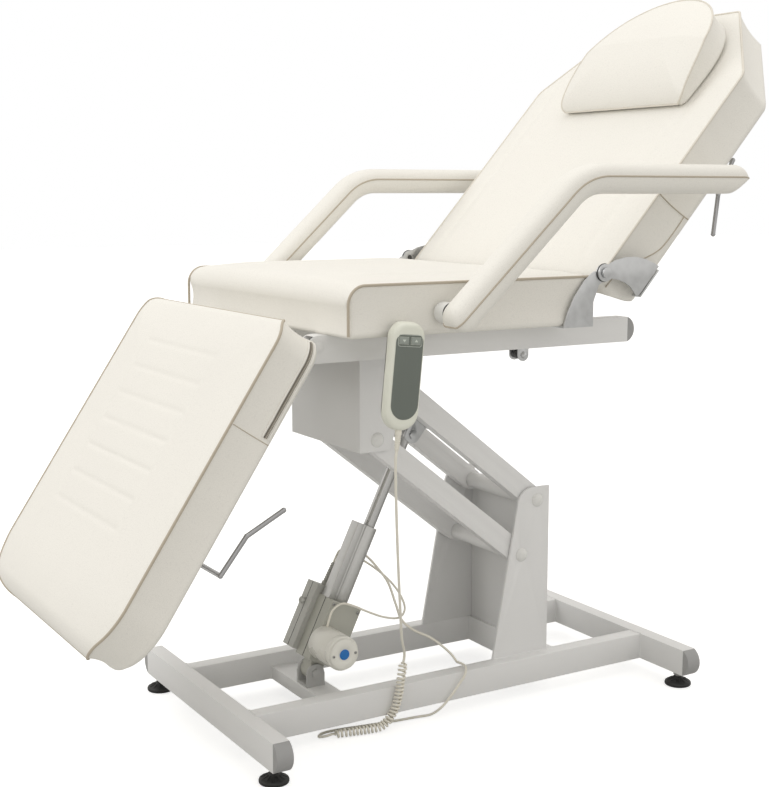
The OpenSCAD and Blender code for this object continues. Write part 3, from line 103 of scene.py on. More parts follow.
def look(name, colour, rough, metal=0.0, tone=0.04, patch=9.0, grain=1500.0, relief=0.1, pull=(1, 1, 1),
         cells=False):
    """Surface with soft patches of tone, uneven gloss and a fine grain: fine noise, or leather's cells with
    painted shade in their creases.
    """
    material = bpy.data.materials.new(name)
    material.use_nodes = True
    tree = material.node_tree
    shader = tree.nodes["Principled BSDF"]
    shader.inputs["Metallic"].default_value = metal

    def wire(start, out, end, into):
        tree.links.new(start.outputs[out], end.inputs[into])

    place = tree.nodes.new("ShaderNodeTexCoord")
    turn = tree.nodes.new("ShaderNodeMapping")
    turn.inputs["Scale"].default_value = pull
    wire(place, "Object", turn, "Vector")
    cloud = tree.nodes.new("ShaderNodeTexNoise")
    cloud.inputs["Scale"].default_value = patch
    cloud.inputs["Detail"].default_value = 4
    wire(turn, "Vector", cloud, "Vector")
    tint = tree.nodes.new("ShaderNodeMix")
    tint.data_type = "RGBA"
    tint.inputs[6].default_value = (*[c * (1 - tone) for c in colour], 1)
    tint.inputs[7].default_value = (*[min(1, c * (1 + tone)) for c in colour], 1)
    wire(cloud, "Fac", tint, 0)
    gloss = tree.nodes.new("ShaderNodeMapRange")
    gloss.inputs["From Min"].default_value = 0.3
    gloss.inputs["From Max"].default_value = 0.7
    gloss.inputs["To Min"].default_value = rough * (1 - gloss_spread)
    gloss.inputs["To Max"].default_value = min(1, rough * (1 + gloss_spread))
    wire(cloud, "Fac", gloss, "Value")
    wire(gloss, "Result", shader, "Roughness")
    fine = tree.nodes.new("ShaderNodeTexNoise")
    fine.inputs["Scale"].default_value = grain
    wire(turn, "Vector", fine, "Vector")
    bump = tree.nodes.new("ShaderNodeBump")
    bump.inputs["Strength"].default_value = relief
    bump.inputs["Distance"].default_value = bump_depth
    wire(fine, "Fac", bump, "Height")
    if cells:
        cell = tree.nodes.new("ShaderNodeTexVoronoi")
        cell.feature = "DISTANCE_TO_EDGE"
        cell.inputs["Scale"].default_value = grain / 3
        wire(turn, "Vector", cell, "Vector")
        crease = tree.nodes.new("ShaderNodeMapRange")
        crease.inputs["From Max"].default_value = crease_width
        wire(cell, "Distance", crease, "Value")
        join = tree.nodes.new("ShaderNodeBump")
        join.inputs["Strength"].default_value = relief * 2
        join.inputs["Distance"].default_value = bump_depth
        wire(crease, "Result", join, "Height")
        wire(bump, "Normal", join, "Normal")
        bump = join
        # Painted shade: the base colour is darkened in the cells' creases.
        deep = tree.nodes.new("ShaderNodeMix")
        deep.data_type = "RGBA"
        deep.inputs[6].default_value = (*[c * crease_shade_tone for c in colour], 1)
        wire(crease, "Result", deep, 0)
        wire(tint, 2, deep, 7)
        tint = deep
    wire(tint, 2, shader, "Base Color")
    wire(bump, "Normal", shader, "Normal")
    return material


def solid(name, points, faces, material, smooth=True):
    """Object at the origin with a closed mesh whose faces point outwards."""
    mesh = bpy.data.meshes.new(name)
    mesh.from_pydata([tuple(p) for p in points], [], [tuple(f) for f in faces])
    work = bmesh.new()
    work.from_mesh(mesh)
    bmesh.ops.recalc_face_normals(work, faces=work.faces)
    work.to_mesh(mesh)
    work.free()
    mesh.materials.append(material)
    mesh.polygons.foreach_set("use_smooth", [smooth] * len(mesh.polygons))
    made = bpy.data.objects.new(name, mesh)
    bpy.context.scene.collection.objects.link(made)
    return made


floor_half = 20.0
floor_look = look("studio_floor", (0.62, 0.62, 0.61), 0.9, tone=0.005, patch=2.0, relief=0.0)
floor_corners = [(x * floor_half, y * floor_half, 0) for x, y in [(-1, -1), (1, -1), (1, 1), (-1, 1)]]
floor = solid("studio_floor", floor_corners, [(0, 1, 2, 3)], floor_look)

scene = bpy.context.scene
scene.view_settings.view_transform = "Standard"
scene.world = bpy.data.worlds.new("studio")
scene.world.use_nodes = True
sky = scene.world.node_tree
soft_sky, white_sky = sky.nodes["Background"], sky.nodes.new("ShaderNodeBackground")
soft_sky.inputs["Color"].default_value = (1.0, 0.975, 0.935, 1)
soft_sky.inputs["Strength"].default_value = 0.86
white_sky.inputs["Color"].default_value = (1, 1, 1, 1)
seen_sky = sky.nodes.new("ShaderNodeMixShader")
sky.links.new(sky.nodes.new("ShaderNodeLightPath").outputs["Is Camera Ray"], seen_sky.inputs["Fac"])
sky.links.new(soft_sky.outputs["Background"], seen_sky.inputs[1])
sky.links.new(white_sky.outputs["Background"], seen_sky.inputs[2])
sky.links.new(seen_sky.outputs["Shader"], sky.nodes["World Output"].inputs["Surface"])

# Straight from the camera the floor glows a little, so that it is as white as the sky behind it
ground = floor_look.node_tree
glow = ground.nodes.new("ShaderNodeMath")
glow.operation = "MULTIPLY"
glow.inputs[1].default_value = 0.65
ground.links.new(ground.nodes.new("ShaderNodeLightPath").outputs["Is Camera Ray"], glow.inputs[0])
ground.links.new(glow.outputs["Value"], ground.nodes["Principled BSDF"].inputs["Emission Strength"])
ground.nodes["Principled BSDF"].inputs["Emission Color"].default_value = (1, 1, 1, 1)


def lamp(name, place, aim, size, power):
    """Square soft light at a place, aimed at a point."""
    light = bpy.data.lights.new(name, "AREA")
    light.size = size
    light.energy = power
    made = bpy.data.objects.new(name, light)
    turn = (Vector(place) - Vector(aim)).to_track_quat("Z", "Y").to_matrix().to_4x4()
    made.matrix_world = Matrix.Translation(place) @ turn
    scene.collection.objects.link(made)


chair_middle = (0, 0, 0.6)
lamp("front_softbox", (-1.6, -3.2, 3.4), chair_middle, 2.6, 46)
lamp("top_softbox", (0.4, 0.4, 3.6), chair_middle, 2.4, 18)

# Hand control cord
# A cream PVC cord, 4.6 mm thick, that leaves the hand control, hangs to the base, turns into a curly
# stretch, lies on the floor, then climbs over the rail and goes up to its plug on the control box.
cord_radius = 2.3 * mm
cord_sides = 14
cord_look = look("cord_pvc", (0.82, 0.79, 0.70), 0.42, tone=0.05, patch=30, grain=900, relief=0.05)
upper_route = [[330.5, -207.5, 552], [330.5, -208.8, 539], [328, -209, 520], [305, -194, 455],
               [265, -166, 350], [225, -137, 250], [192, -113, 180], [170, -95, 150], [161, -88.5, 135],
               [160, -89, 126]]
curl_route = [[160, -90, 122], [160, -95, 92], [160, -100, 62], [159, -110, 34], [156, -130, 13],
              [150, -158, 9], [144, -187, 9], [138, -216, 9]]
floor_route = [[137, -221, 9], [134, -232, 6.5], [124, -240, 3.5], [113, -230, 2.6], [110, -210, 2.6],
               [114, -178, 2.6], [122, -130, 2.6], [128, -86, 2.6], [132, -45, 2.6], [142, -20, 6],
               [154, -6, 20], [157, 10, 36], [158, 28, 56], [158, 42, 73], [150, 50, 83], [134, 55, 84],
               [112, 56, 82]]
rise_route = [[112, 56, 82], [98, 48, 98], [76, 24, 122], [55, -3, 137], [42, -21, 156], [30, -27, 185],
              [15, -34, 222], [2, -48, 248], [-10, -62, 268], [-22, -78, 282], [-31, -92, 284],
              [-35, -101, 276], [-35, -108, 264], [-35, -112, 256], [-35, -115, 250]]


def along(route, t):
    """Point on the smooth curve through a route's points, for t from 0 to 1."""
    points = np.array(route, float)
    last = len(points) - 1
    u = min(t * last, last - 1e-6)
    i = int(u)
    f = u - i
    a, b, c, d = points[max(i - 1, 0)], points[i], points[i + 1], points[min(i + 2, last)]
    return (2 * b + (c - a) * f + (2 * a - 5 * b + 4 * c - d) * f**2 + (3 * b - a - 3 * c + d) * f**3) / 2


def laid(route, steps):
    """Points in metres along the smooth curve through a route."""
    return [along(route, i / steps) * mm for i in range(steps + 1)]


def ring_faces(rings, sides, capped=True):
    """Faces between rings of as many points each, with a flat cap on the first and the last."""
    faces = []
    for first in range(0, (rings - 1) * sides, sides):
        for k in range(sides):
            after = (k + 1) % sides
            faces.append((first + k, first + after, first + sides + after, first + sides + k))
    if capped:
        faces += [tuple(range(sides)), tuple(range((rings - 1) * sides, rings * sides))]
    return faces


def tube(name, points, radius, sides, material):
    """Closed round tube along points, carried without twist; radius may change from point to point."""
    points = np.array(points, float)
    radii = np.broadcast_to(radius, len(points))
    ways = np.gradient(points, axis=0)
    ways /= np.linalg.norm(ways, axis=1)[:, None]
    side = np.array([1, 0, 0.1])
    turns = np.arange(sides) * 2 * math.pi / sides
    rows = []
    for point, way, r in zip(points, ways, radii):
        side = side - way * (side @ way)
        side /= np.linalg.norm(side)
        other = np.cross(way, side)
        rows += [point + r * (math.cos(a) * side + math.sin(a) * other) for a in turns]
    return solid(name, rows, ring_faces(len(points), sides), material)


def cord_piece(name, points, radius, body):
    """Free cord along points that stands for the CAD node of nearly the same name."""
    made = tube(name, points, radius, cord_sides, cord_look)
    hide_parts(name.replace("_run", ""))
    if body:
        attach(made, body)
    return made


upper_points = laid(upper_route, 72)
floor_points = laid(floor_route, 128)
rise_points = laid(rise_route, 98)

# The curls are a helix whose radius grows from the route at both ends, with a short straight lead.
curl_radius = 2.1 * mm
curl_middle = 6.1
curl_count = 31
curl_turn_points = 20


def curl_way(t, reach=0.002):
    """Direction of the curly stretch's middle line, for t from 0 to 1."""
    way = along(curl_route, min(t + reach, 1)) - along(curl_route, max(t - reach, 0))
    return way / np.linalg.norm(way)


def curl_point(t):
    """Point on the curls in millimetres, for t from 0 to 1."""
    way = curl_way(t)
    side = np.array([1.0, 0, 0]) - way[0] * way
    side /= np.linalg.norm(side)
    grow = min(1, t * curl_count, (1 - t) * curl_count)
    turn = 2 * math.pi * curl_count * t
    spoke = math.cos(turn) * side + math.sin(turn) * np.cross(way, side)
    return along(curl_route, t) + curl_middle * grow * spoke


curl_lead = 2.4 * curl_radius / mm
curl_steps = curl_count * curl_turn_points
curl_points = [np.array(curl_route[0]) - curl_lead * curl_way(0)]
curl_points += [curl_point(i / curl_steps) for i in range(curl_steps + 1)]
curl_points += [np.array(curl_route[-1]) + curl_lead * curl_way(1)]
curl_points = [p * mm for p in curl_points]

upper = cord_piece("handset_cord_upper_run", upper_points, cord_radius, "base")
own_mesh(upper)
cord_piece("handset_cord_coil_run", curl_points, curl_radius, "base")
cord_piece("handset_cord_floor_run", floor_points, cord_radius, "base")

# Motor lead and plugs
# The motor's own thin lead loops up beside the profile to the second socket. Both plugs are moulded
# grey PVC with a ribbed, tapered strain relief, pushed into the top of the control box.
motor_route = [[36, -176, 160], [36.5, -172, 176], [38, -164, 196], [40, -146, 206], [41, -122, 198],
               [39, -92, 182], [36, -55, 165], [28, -18, 156], [16, 2, 168], [6, -4, 195], [-4, -22, 222],
               [-18, -46, 246], [-32, -70, 264], [-44, -88, 277], [-51, -99, 278], [-53, -106, 268],
               [-53, -112, 256], [-53, -115, 250]]
lead_radius = 2.0 * mm
lead_points = laid(motor_route, 119)
base_pin = Vector((0, -190, 77)) * mm
actuator_lean = math.radians(-25.88)
at_actuator = Matrix.Translation(base_pin) @ Matrix.Rotation(actuator_lean, 4, "X")
plug_look = look("plug_pvc", (0.42, 0.42, 0.39), 0.5, tone=0.06, patch=40, grain=1200, relief=0.1)
plug_places = [(-35, -8), (-53, -8)]
plug_socket_z, plug_shoulder_z, plug_tip_z = 136, 157, 195
plug_half, rib_wide, rib_taper, rib_deep, relief_ribs = 6.8, 5.6, 1.9, 1.1, 8


def around(place, r, a, z):
    """Point at a radius, an angle and a height in millimetres, in the frame called place."""
    return place @ (Vector((r * math.cos(a), r * math.sin(a), z)) * mm)


def turned(name, profile, material, place, sides=32):
    """Round piece about the local z axis from (radius, height) pairs, in the frame called place."""
    angles = np.arange(sides) * 2 * math.pi / sides
    points = [around(place, r, a, z) for r, z in profile for a in angles]
    return solid(name, points, ring_faces(len(profile), sides), material)


plug_profile = [(5.5, plug_socket_z), (plug_half, plug_socket_z + 1), (plug_half, plug_shoulder_z - 1),
                (6.0, plug_shoulder_z)]
half_rib = (plug_tip_z - plug_shoulder_z) / relief_ribs / 2
for rib in range(relief_ribs):
    share = (rib + 0.5) / relief_ribs
    z = plug_shoulder_z + 1 + (plug_tip_z - plug_shoulder_z - 2) * share
    r = rib_wide - rib_taper * share
    plug_profile += [(r - rib_deep, z - half_rib * 0.9), (r, z - half_rib * 0.5), (r, z + half_rib * 0.5),
                     (r - rib_deep, z + half_rib * 0.9)]
plug_profile.append((2.6, plug_tip_z))
for number, (x, y) in enumerate(plug_places):
    at_socket = at_actuator @ Matrix.Translation((x * mm, y * mm, 0))
    plug = turned(f"cord_plug_{number + 1}", plug_profile, plug_look, at_socket)
    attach(plug, "actuator_body")
    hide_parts("cord_plugs")

rise = cord_piece("handset_cord_rise_run", rise_points, cord_radius, None)
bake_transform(rise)
cord_piece("motor_lead_run", lead_points, lead_radius, "actuator_body")

# Base frame
# Two side rails, two cross beams and two low cross bars of rectangular steel tube with a 2 mm wall,
# welded and powder coated white. The tower's folded plates and web stand welded on the rails.
frame_white = look("white_powder_coat", (0.80, 0.80, 0.795), 0.38, tone=0.015, patch=14, grain=700,
                   relief=0.12)
edge_angle, shade_angle, flat_angle = math.radians(40), math.radians(32), math.radians(0.6)


def body_of(node):
    """Name of the body that a CAD node belongs to."""
    return next(name for name, empty in frame["bodies"].items() if nodes[node].parent == empty)


def rounded(node, radius, material, steps=3):
    """Copy of a CAD node's skin, merged, with its hard edges rounded, in place of the node."""
    mesh = nodes[node].data.copy()
    mesh.name = node + "_skin"
    work = bmesh.new()
    work.from_mesh(mesh)
    bmesh.ops.remove_doubles(work, verts=work.verts, dist=0.001 * mm)
    bmesh.ops.dissolve_limit(work, angle_limit=flat_angle, verts=work.verts, edges=work.edges)
    work.to_mesh(mesh)
    work.free()
    made = bpy.data.objects.new(node + "_skin", mesh)
    scene.collection.objects.link(made)
    bevel = made.modifiers.new("edges", "BEVEL")
    bevel.width = radius
    bevel.segments = steps
    bevel.limit_method = "ANGLE"
    bevel.angle_limit = edge_angle
    bevel.harden_normals = False
    baked(made)
    mesh = made.data
    mesh.materials.clear()
    mesh.materials.append(material)
    mesh.polygons.foreach_set("use_smooth", [True] * len(mesh.polygons))
    mesh.set_sharp_from_angle(angle=shade_angle)
    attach(made, body_of(node))
    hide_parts(node)
    return made


def baked(made):
    """Turns an object's modifiers into its plain mesh."""
    bpy.context.view_layer.update()
    mesh = bpy.data.meshes.new_from_object(made.evaluated_get(bpy.context.evaluated_depsgraph_get()))
    made.modifiers.clear()
    made.data = mesh
    return made


for node in ["side_rails", "cross_beams", "base_crossbars"]:
    rounded(node, 3 * mm, frame_white)
for node in ["tower_plates", "tower_web"]:
    rounded(node, 1 * mm, frame_white, 2)


def path_tree(name, dashes):
    """Geometry node tree that sweeps a round edge along a line, or lays dashes along it."""
    tree = bpy.data.node_groups.new(name, "GeometryNodeTree")
    sockets = {}
    for label, kind in [("Geometry", "NodeSocketGeometry"), ("Radius", "NodeSocketFloat"),
                        ("Length", "NodeSocketFloat"), ("Pitch", "NodeSocketFloat"),
                        ("Material", "NodeSocketMaterial")]:
        sockets[label] = tree.interface.new_socket(label, in_out="INPUT", socket_type=kind)
    tree.interface.new_socket("Geometry", in_out="OUTPUT", socket_type="NodeSocketGeometry")

    def add(kind):
        return tree.nodes.new(kind)

    def wire(start, out, end, into):
        tree.links.new(start.outputs[out], end.inputs[into])

    start, end = add("NodeGroupInput"), add("NodeGroupOutput")
    line, real, paint, soft = (add("GeometryNodeMeshToCurve"), add("GeometryNodeRealizeInstances"),
                               add("GeometryNodeSetMaterial"), add("GeometryNodeSetShadeSmooth"))
    wire(start, "Geometry", line, "Mesh")
    if dashes:
        spots, dash, lay = (add("GeometryNodeCurveToPoints"), add("GeometryNodeMeshCylinder"),
                            add("GeometryNodeInstanceOnPoints"))
        spots.mode = "LENGTH"
        dash.inputs["Vertices"].default_value = 6
        wire(line, "Curve", spots, "Curve")
        wire(start, "Pitch", spots, "Length")
        wire(start, "Radius", dash, "Radius")
        wire(start, "Length", dash, "Depth")
        wire(spots, "Points", lay, "Points")
        wire(spots, "Rotation", lay, "Rotation")
        wire(dash, "Mesh", lay, "Instance")
        wire(lay, "Instances", soft, "Geometry")
    else:
        ring, sweep = add("GeometryNodeCurvePrimitiveCircle"), add("GeometryNodeCurveToMesh")
        ring.inputs["Resolution"].default_value = 10
        sweep.inputs["Fill Caps"].default_value = True
        wire(start, "Radius", ring, "Radius")
        wire(line, "Curve", sweep, "Curve")
        wire(ring, "Curve", sweep, "Profile Curve")
        wire(sweep, "Mesh", soft, "Geometry")
    wire(soft, "Geometry", real, "Geometry")
    wire(real, "Geometry", paint, "Geometry")
    wire(start, "Material", paint, "Material")
    wire(paint, "Geometry", end, "Geometry")
    return tree, {label: socket.identifier for label, socket in sockets.items()}


round_edge, round_edge_inputs = path_tree("round_edge", False)
dashed_line, dashed_line_inputs = path_tree("dashed_line", True)


def follow(name, lines, radius, material, body, closed=False, pitch=0.0, dash=0.0):
    """One piece that follows each of the lines: a round edge, or dashes when a pitch is given."""
    mesh = bpy.data.meshes.new(name)
    points, edges = [], []
    for line in lines:
        first = len(points)
        points += [tuple(p) for p in line]
        edges += [(first + i, first + i + 1) for i in range(len(line) - 1)]
        if closed:
            edges.append((len(points) - 1, first))
    mesh.from_pydata(points, edges, [])
    made = bpy.data.objects.new(name, mesh)
    scene.collection.objects.link(made)
    tree, inputs = (dashed_line, dashed_line_inputs) if pitch else (round_edge, round_edge_inputs)
    modifier = made.modifiers.new("path", "NODES")
    modifier.node_group = tree
    modifier[inputs["Radius"]] = radius
    modifier[inputs["Length"]] = dash
    modifier[inputs["Pitch"]] = pitch
    modifier[inputs["Material"]] = material
    baked(made)
    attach(made, body)
    return made


def straight(a, b, steps=1):
    """Points from a to b, both in millimetres."""
    return [tuple(np.array(a) * mm + (np.array(b) - np.array(a)) * mm * i / steps) for i in range(steps + 1)]


# Weld beads where the tubes and plates meet
bead = 1.6 * mm
rail_in, rail_out, rail_low, rail_top = 120, 150, 27, 77
beam_faces, tower_bar_faces = (-371, 467), (241, 271)
motor_bar_front, motor_bar_rear, motor_bar_top = -211, -161, 52
plate_x, plate_front, plate_rear, web_y, web_top = 125, 130, 252, 250, 376
welds = []
for s in (-1, 1):
    for y in beam_faces:
        welds.append(straight((s * rail_in, y, rail_top), (s * rail_out, y, rail_top), 12))
        for x in (rail_out, rail_in):
            welds.append(straight((s * x, y, rail_low + 2), (s * x, y, rail_top - 2), 12))
    for y in tower_bar_faces:
        welds.append(straight((s * rail_in, y, rail_low + 2), (s * rail_in, y, rail_top), 10))
    for y in (motor_bar_front, motor_bar_rear):
        welds.append(straight((s * rail_in, y, rail_low), (s * rail_in, y, motor_bar_top), 10))
    welds.append(straight((s * rail_in, motor_bar_front, motor_bar_top),
                          (s * rail_in, motor_bar_rear, motor_bar_top), 10))
    welds.append(straight((s * plate_x, plate_front, rail_top), (s * plate_x, plate_rear, rail_top), 24))
    welds.append(straight((s * rail_in, web_y, rail_top + 4), (s * rail_in, web_y, web_top), 40))
follow("base_weld_beads", welds, bead, frame_white, "base")

# End caps
# Light grey polypropylene plugs with a bowed face, pressed into the ends of the cross beams and of
# the seat rails.
cap_look = look("cap_plastic", (0.36, 0.36, 0.36), 0.45, tone=0.03, patch=20, grain=900, relief=0.15)
rounded("beam_end_caps", 1.5 * mm, cap_look)
rounded("seat_rail_caps", 1.5 * mm, cap_look)

# Feet
# Black moulded discs with a ribbed skirt on a zinc stem with a lock nut, screwed into the cross
# beams for levelling.
foot_look = look("foot_rubber", (0.018, 0.018, 0.018), 0.5, tone=0.25, patch=60, grain=1500, relief=0.2)
stem_look = look("stem_zinc", (0.42, 0.42, 0.41), 0.35, metal=1.0, tone=0.12, patch=120, grain=2500,
                 relief=0.1)
foot_x, foot_front_y, foot_rear_y = 243, -386, 482
foot_profile = [(3, 0.2), (21.5, 0), (24, 0.6), (25, 2), (25, 5.4), (24.2, 7), (21.5, 8.6), (15, 11),
                (10, 13.6), (8.6, 15.6), (8.2, 17), (5.2, 17.4)]
foot_rib, foot_rib_count = [(21, 8.7), (9.5, 14)], 12
stem_turns, stem_from, stem_pitch = 16, 17, 1.5
stem_profile = [(2, 16.5)]
for i in range(stem_turns):
    z = stem_from + i * stem_pitch
    stem_profile += [(4.4, z), (5.0, z + 0.4), (5.0, z + 0.8), (4.4, z + 1.2)]
stem_profile.append((2, 42))
nut_profile = [(5.1, 20.2), (8.2, 20), (9, 20.7), (9, 26), (8.2, 26.7), (5.1, 26.6)]
for name, x, y in [("foot_front_left", foot_x, foot_front_y), ("foot_front_right", -foot_x, foot_front_y),
                   ("foot_rear_left", foot_x, foot_rear_y), ("foot_rear_right", -foot_x, foot_rear_y)]:
    place = Matrix.Translation((x * mm, y * mm, 0))
    disc = turned(name + "_disc", foot_profile, foot_look, place, 48)
    rib_angles = np.arange(foot_rib_count) * 2 * math.pi / foot_rib_count
    ribs = [[around(place, r, a, z) for r, z in foot_rib] for a in rib_angles]
    follow(name + "_ribs", ribs, 0.8 * mm, foot_look, name)
    stem = turned(name + "_stem", stem_profile, stem_look, place, 24)
    nut = turned(name + "_nut", nut_profile, stem_look, place, 6)
    nut.data.polygons.foreach_set("use_smooth", [False] * len(nut.data.polygons))
    for part, slot in [(disc, "foot_black"), (stem, "zinc"), (nut, "zinc")]:
        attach(part, name)
        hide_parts(name)

# Lift arms and their pivots
# Closed steel tubes on shafts through the tower and the folded bracket, powder coated like the
# frame. Every shaft ends in a pearly white domed cap pressed over its nut.
for node in ["upper_lift_arms", "lower_lift_arms"]:
    rounded(node, 2.5 * mm, frame_white)
for node in ["upper_torque_tube", "lower_torque_tube"]:
    rounded(node, 0.6 * mm, frame_white, 2)
dome_look = look("pivot_cap_plastic", (0.78, 0.78, 0.76), 0.25, tone=0.02, patch=20, grain=900, relief=0.04)
for node in ["tower_pivot_bolts", "bracket_pivot_bolts"]:
    rounded(node, 0.8 * mm, dome_look, 2)
zinc_look = look("zinc_plate", (0.62, 0.63, 0.64), 0.34, metal=1.0, tone=0.16, patch=70, grain=900,
                 relief=0.12)
rounded("clevis_bracket", 0.8 * mm, zinc_look, 2)
bracket_look = look("bracket_paint", (0.47, 0.47, 0.46), 0.42, tone=0.05, patch=40)
rounded("actuator_bracket", 0.8 * mm, bracket_look, 2)

# Front bracket and seat frame
# The folded steel plate that the arms push on, welded under the two long seat rails and their four
# cross bars and powder coated white. The small brackets on the frame are zinc plated.
rounded("front_bracket", 1.6 * mm, frame_white)
rounded("seat_rails", 3 * mm, frame_white)
rounded("seat_crossbars", 3 * mm, frame_white)
bracket_x, bracket_weld_front, bracket_weld_rear, bracket_weld_z = 127, -150, -66, 671
seat_rail_x, seat_bar_low, seat_bar_top = 200, 674, 714
seat_bar_faces = (-245, -215, -158, -128, -92, -62, 242, 272)
seat_welds = []
for s in (-1, 1):
    seat_welds.append(straight((s * bracket_x, bracket_weld_front, bracket_weld_z),
                               (s * bracket_x, bracket_weld_rear, bracket_weld_z), 20))
    for y in seat_bar_faces:
        seat_welds.append(straight((s * seat_rail_x, y, seat_bar_low), (s * seat_rail_x, y, seat_bar_top), 8))
follow("seat_weld_beads", seat_welds, bead, frame_white, "seat_frame")
rounded("seat_brackets", 0.8 * mm, zinc_look, 2)

# Seat cushion
# Moulded foam on a plywood board under cream leatherette: the cover rolls over the front edge, and
# each side is a separate flat panel, piped along its top and down its front edge.
hide_look = look("cream_leatherette", (0.85, 0.83, 0.775), 0.48, tone=0.02, patch=5, grain=1300, relief=0.10,
                 cells=True)
# The piping and the seam lines are coloured darker beige than the cover: painted shade of the groove along
# them.
shaded_piping_look = look("beige_piping_painted_shade", (0.50, 0.44, 0.35), 0.55, tone=0.05, patch=30, grain=1300, relief=0.12,
                   cells=True)
piping_radius = 2.3 * mm


def rim_of(corners, radii, step=5.0):
    """Outline in millimetres round a row of corners, anticlockwise, each rounded by its radius."""
    corners = [np.array(c, float) for c in corners]
    rim = []
    for i, corner in enumerate(corners):
        before, after = corners[i - 1] - corner, corners[(i + 1) % len(corners)] - corner
        before, after = before / np.linalg.norm(before), after / np.linalg.norm(after)
        half_angle = math.acos(np.clip(before @ after, -1, 1)) / 2
        reach = radii[i] / math.tan(half_angle)
        middle = corner + (before + after) / np.linalg.norm(before + after) * radii[i] / math.sin(half_angle)
        first, last = corner + before * reach - middle, corner + after * reach - middle
        sweep = math.pi - 2 * half_angle
        steps = max(5, int(radii[i] * sweep / step))
        for k in range(steps + 1):
            mix = np.sin([sweep * (1 - k / steps), sweep * k / steps]) / math.sin(sweep)
            rim.append(middle + first * mix[0] + last * mix[1])
    spread = []
    for i, point in enumerate(rim):
        after = rim[(i + 1) % len(rim)]
        steps = max(1, int(np.linalg.norm(after - point) / step))
        spread += [point + (after - point) * k / steps for k in range(steps)]
    return np.array(spread)


def edge_gap(places, rim):
    """Distance of each place from the outline."""
    after = np.roll(rim, -1, axis=0) - rim
    best = np.full(len(places), 1e9)
    for start, way in zip(rim, after):
        share = np.clip(((places - start) @ way) / (way @ way), 0, 1)
        best = np.minimum(best, np.linalg.norm(places - start - share[:, None] * way, axis=1))
    return best


def ripple(u, seed):
    """Smooth irregular wave along a seam, between -1 and 1."""
    waves = [(31, 0.45), (47, 0.3), (83, 0.25)]
    return sum(share * np.sin(2 * math.pi * u / pitch + seed * (k + 1) * 1.7)
               for k, (pitch, share) in enumerate(waves))


side_roll, cover_draw = 5, 5


def side_inset(share, above, draw):
    """How far a cushion's side lies inside its outline: drawn in half-way up, rolled under at its base."""
    return draw * np.sin(math.pi * share) ** 0.8 + side_roll * np.clip(1 - above / side_roll, 0, 1) ** 2


def boxed(name, rim, low, top, draw, place, material, middle=(0, 0), side_steps=16, top_steps=72, seed=1):
    """Closed cushion over an outline: flat base, sides pulled in between base and edge, and a crowned cover.
    low(places) and top(places, gap) give heights in millimetres; gap is the distance from the outline."""
    middle = np.array(middle, float)
    way = np.roll(rim, -1, axis=0) - np.roll(rim, 1, axis=0)
    way /= np.linalg.norm(way, axis=1)[:, None]
    out = np.column_stack([way[:, 1], -way[:, 0]])
    run = np.concatenate([[0], np.cumsum(np.linalg.norm(np.diff(rim, axis=0), axis=1))])
    base, edge = low(rim), top(rim, np.zeros(len(rim)))
    rings = [(middle + (rim - middle) * share, low(rim)) for share in (0.35, 0.7, 0.96)]
    for k in range(side_steps + 1):
        t = k / side_steps
        high = base + (edge - base) * t
        pucker = 0.55 * ripple(run, seed) * np.exp(-(edge - high) / 14) + 0.3 * ripple(run * 0.6, seed + 3)
        inset = side_inset(t, high - base, draw) + pucker * math.sin(math.pi * t) ** 0.5
        rings.append((rim - out * inset[:, None], high))
    for k in range(1, top_steps):
        share = (k / top_steps) ** 1.25
        places = middle + (rim - middle) * (1 - share)
        gap = edge_gap(places, rim)
        pucker = 0.35 * ripple(run, seed) * np.exp(-gap / 12) * np.clip(gap / 3, 0, 1)
        rings.append((places, top(places, gap) + pucker))
    points = [place @ (Vector((x, y, z)) * mm) for places, high in rings for (x, y), z in zip(places, high)]
    count = len(rim)
    faces = ring_faces(len(rings), count, capped=False)
    points.append(place @ (Vector((*middle, float(low(middle[None])[0]))) * mm))
    faces += [((k + 1) % count, k, len(points) - 1) for k in range(count)]
    points.append(place @ (Vector((*middle, float(top(middle[None], edge_gap(middle[None], rim))[0]))) * mm))
    last = (len(rings) - 1) * count
    faces += [(last + k, last + (k + 1) % count, len(points) - 1) for k in range(count)]
    return solid(name, points, faces, material)


def swell(gap, crown, reach, power=2.6):
    """Height of a stuffed cover above its edge, at a distance from it."""
    return crown * (1 - np.clip(1 - gap / reach, 0, 1) ** power)


def groove(offset, deep, half):
    """Depth of a soft groove at a distance from its middle."""
    return deep * np.exp(-((offset / half) ** 2))


def ramp(distance, length):
    """Share that rises from 0 to 1 over a length."""
    return np.clip(distance / length, 0, 1)


def round_over(distance, radius):
    """How far a cover has dropped at a distance inside an edge that it rolls over."""
    inside = np.clip(radius - distance, 0, radius)
    return radius - np.sqrt(radius**2 - inside**2)


def upholstery(made, body, fill, *stands_for):
    """Says what a padded cover rides on and which nodes it stands for; fill, how full it is, is not used."""
    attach(made, body)
    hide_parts(*stands_for)


level = Matrix.Identity(4)
seat_half, seat_front, seat_rear, seat_low, seat_edge = 310, -283, 193, 717, 799
roll_radius = 30
crown, hollow_deep, fold_inside, fold_deep, fold_half = 13, 3.0, 70, 2.6, 11
seat_fold = seat_half - fold_inside


def seat_top(places, gap):
    """Height of the seat's cover: crowned, folded inside both sides, rolled over the front edge."""
    x, y = np.abs(places[:, 0]), places[:, 1]
    from_sides = np.minimum(seat_half - x, seat_rear - y)
    rise = swell(from_sides, crown, 130) * ramp(y - seat_front, 90) ** 0.5
    fold = groove(x - seat_fold, fold_deep, fold_half) * ramp(y - seat_front - 40, 60)
    hollow = groove(x, hollow_deep, 150) * groove(y + 40, 1, 120)
    return seat_edge - round_over(y - seat_front, roll_radius) + rise - fold - hollow


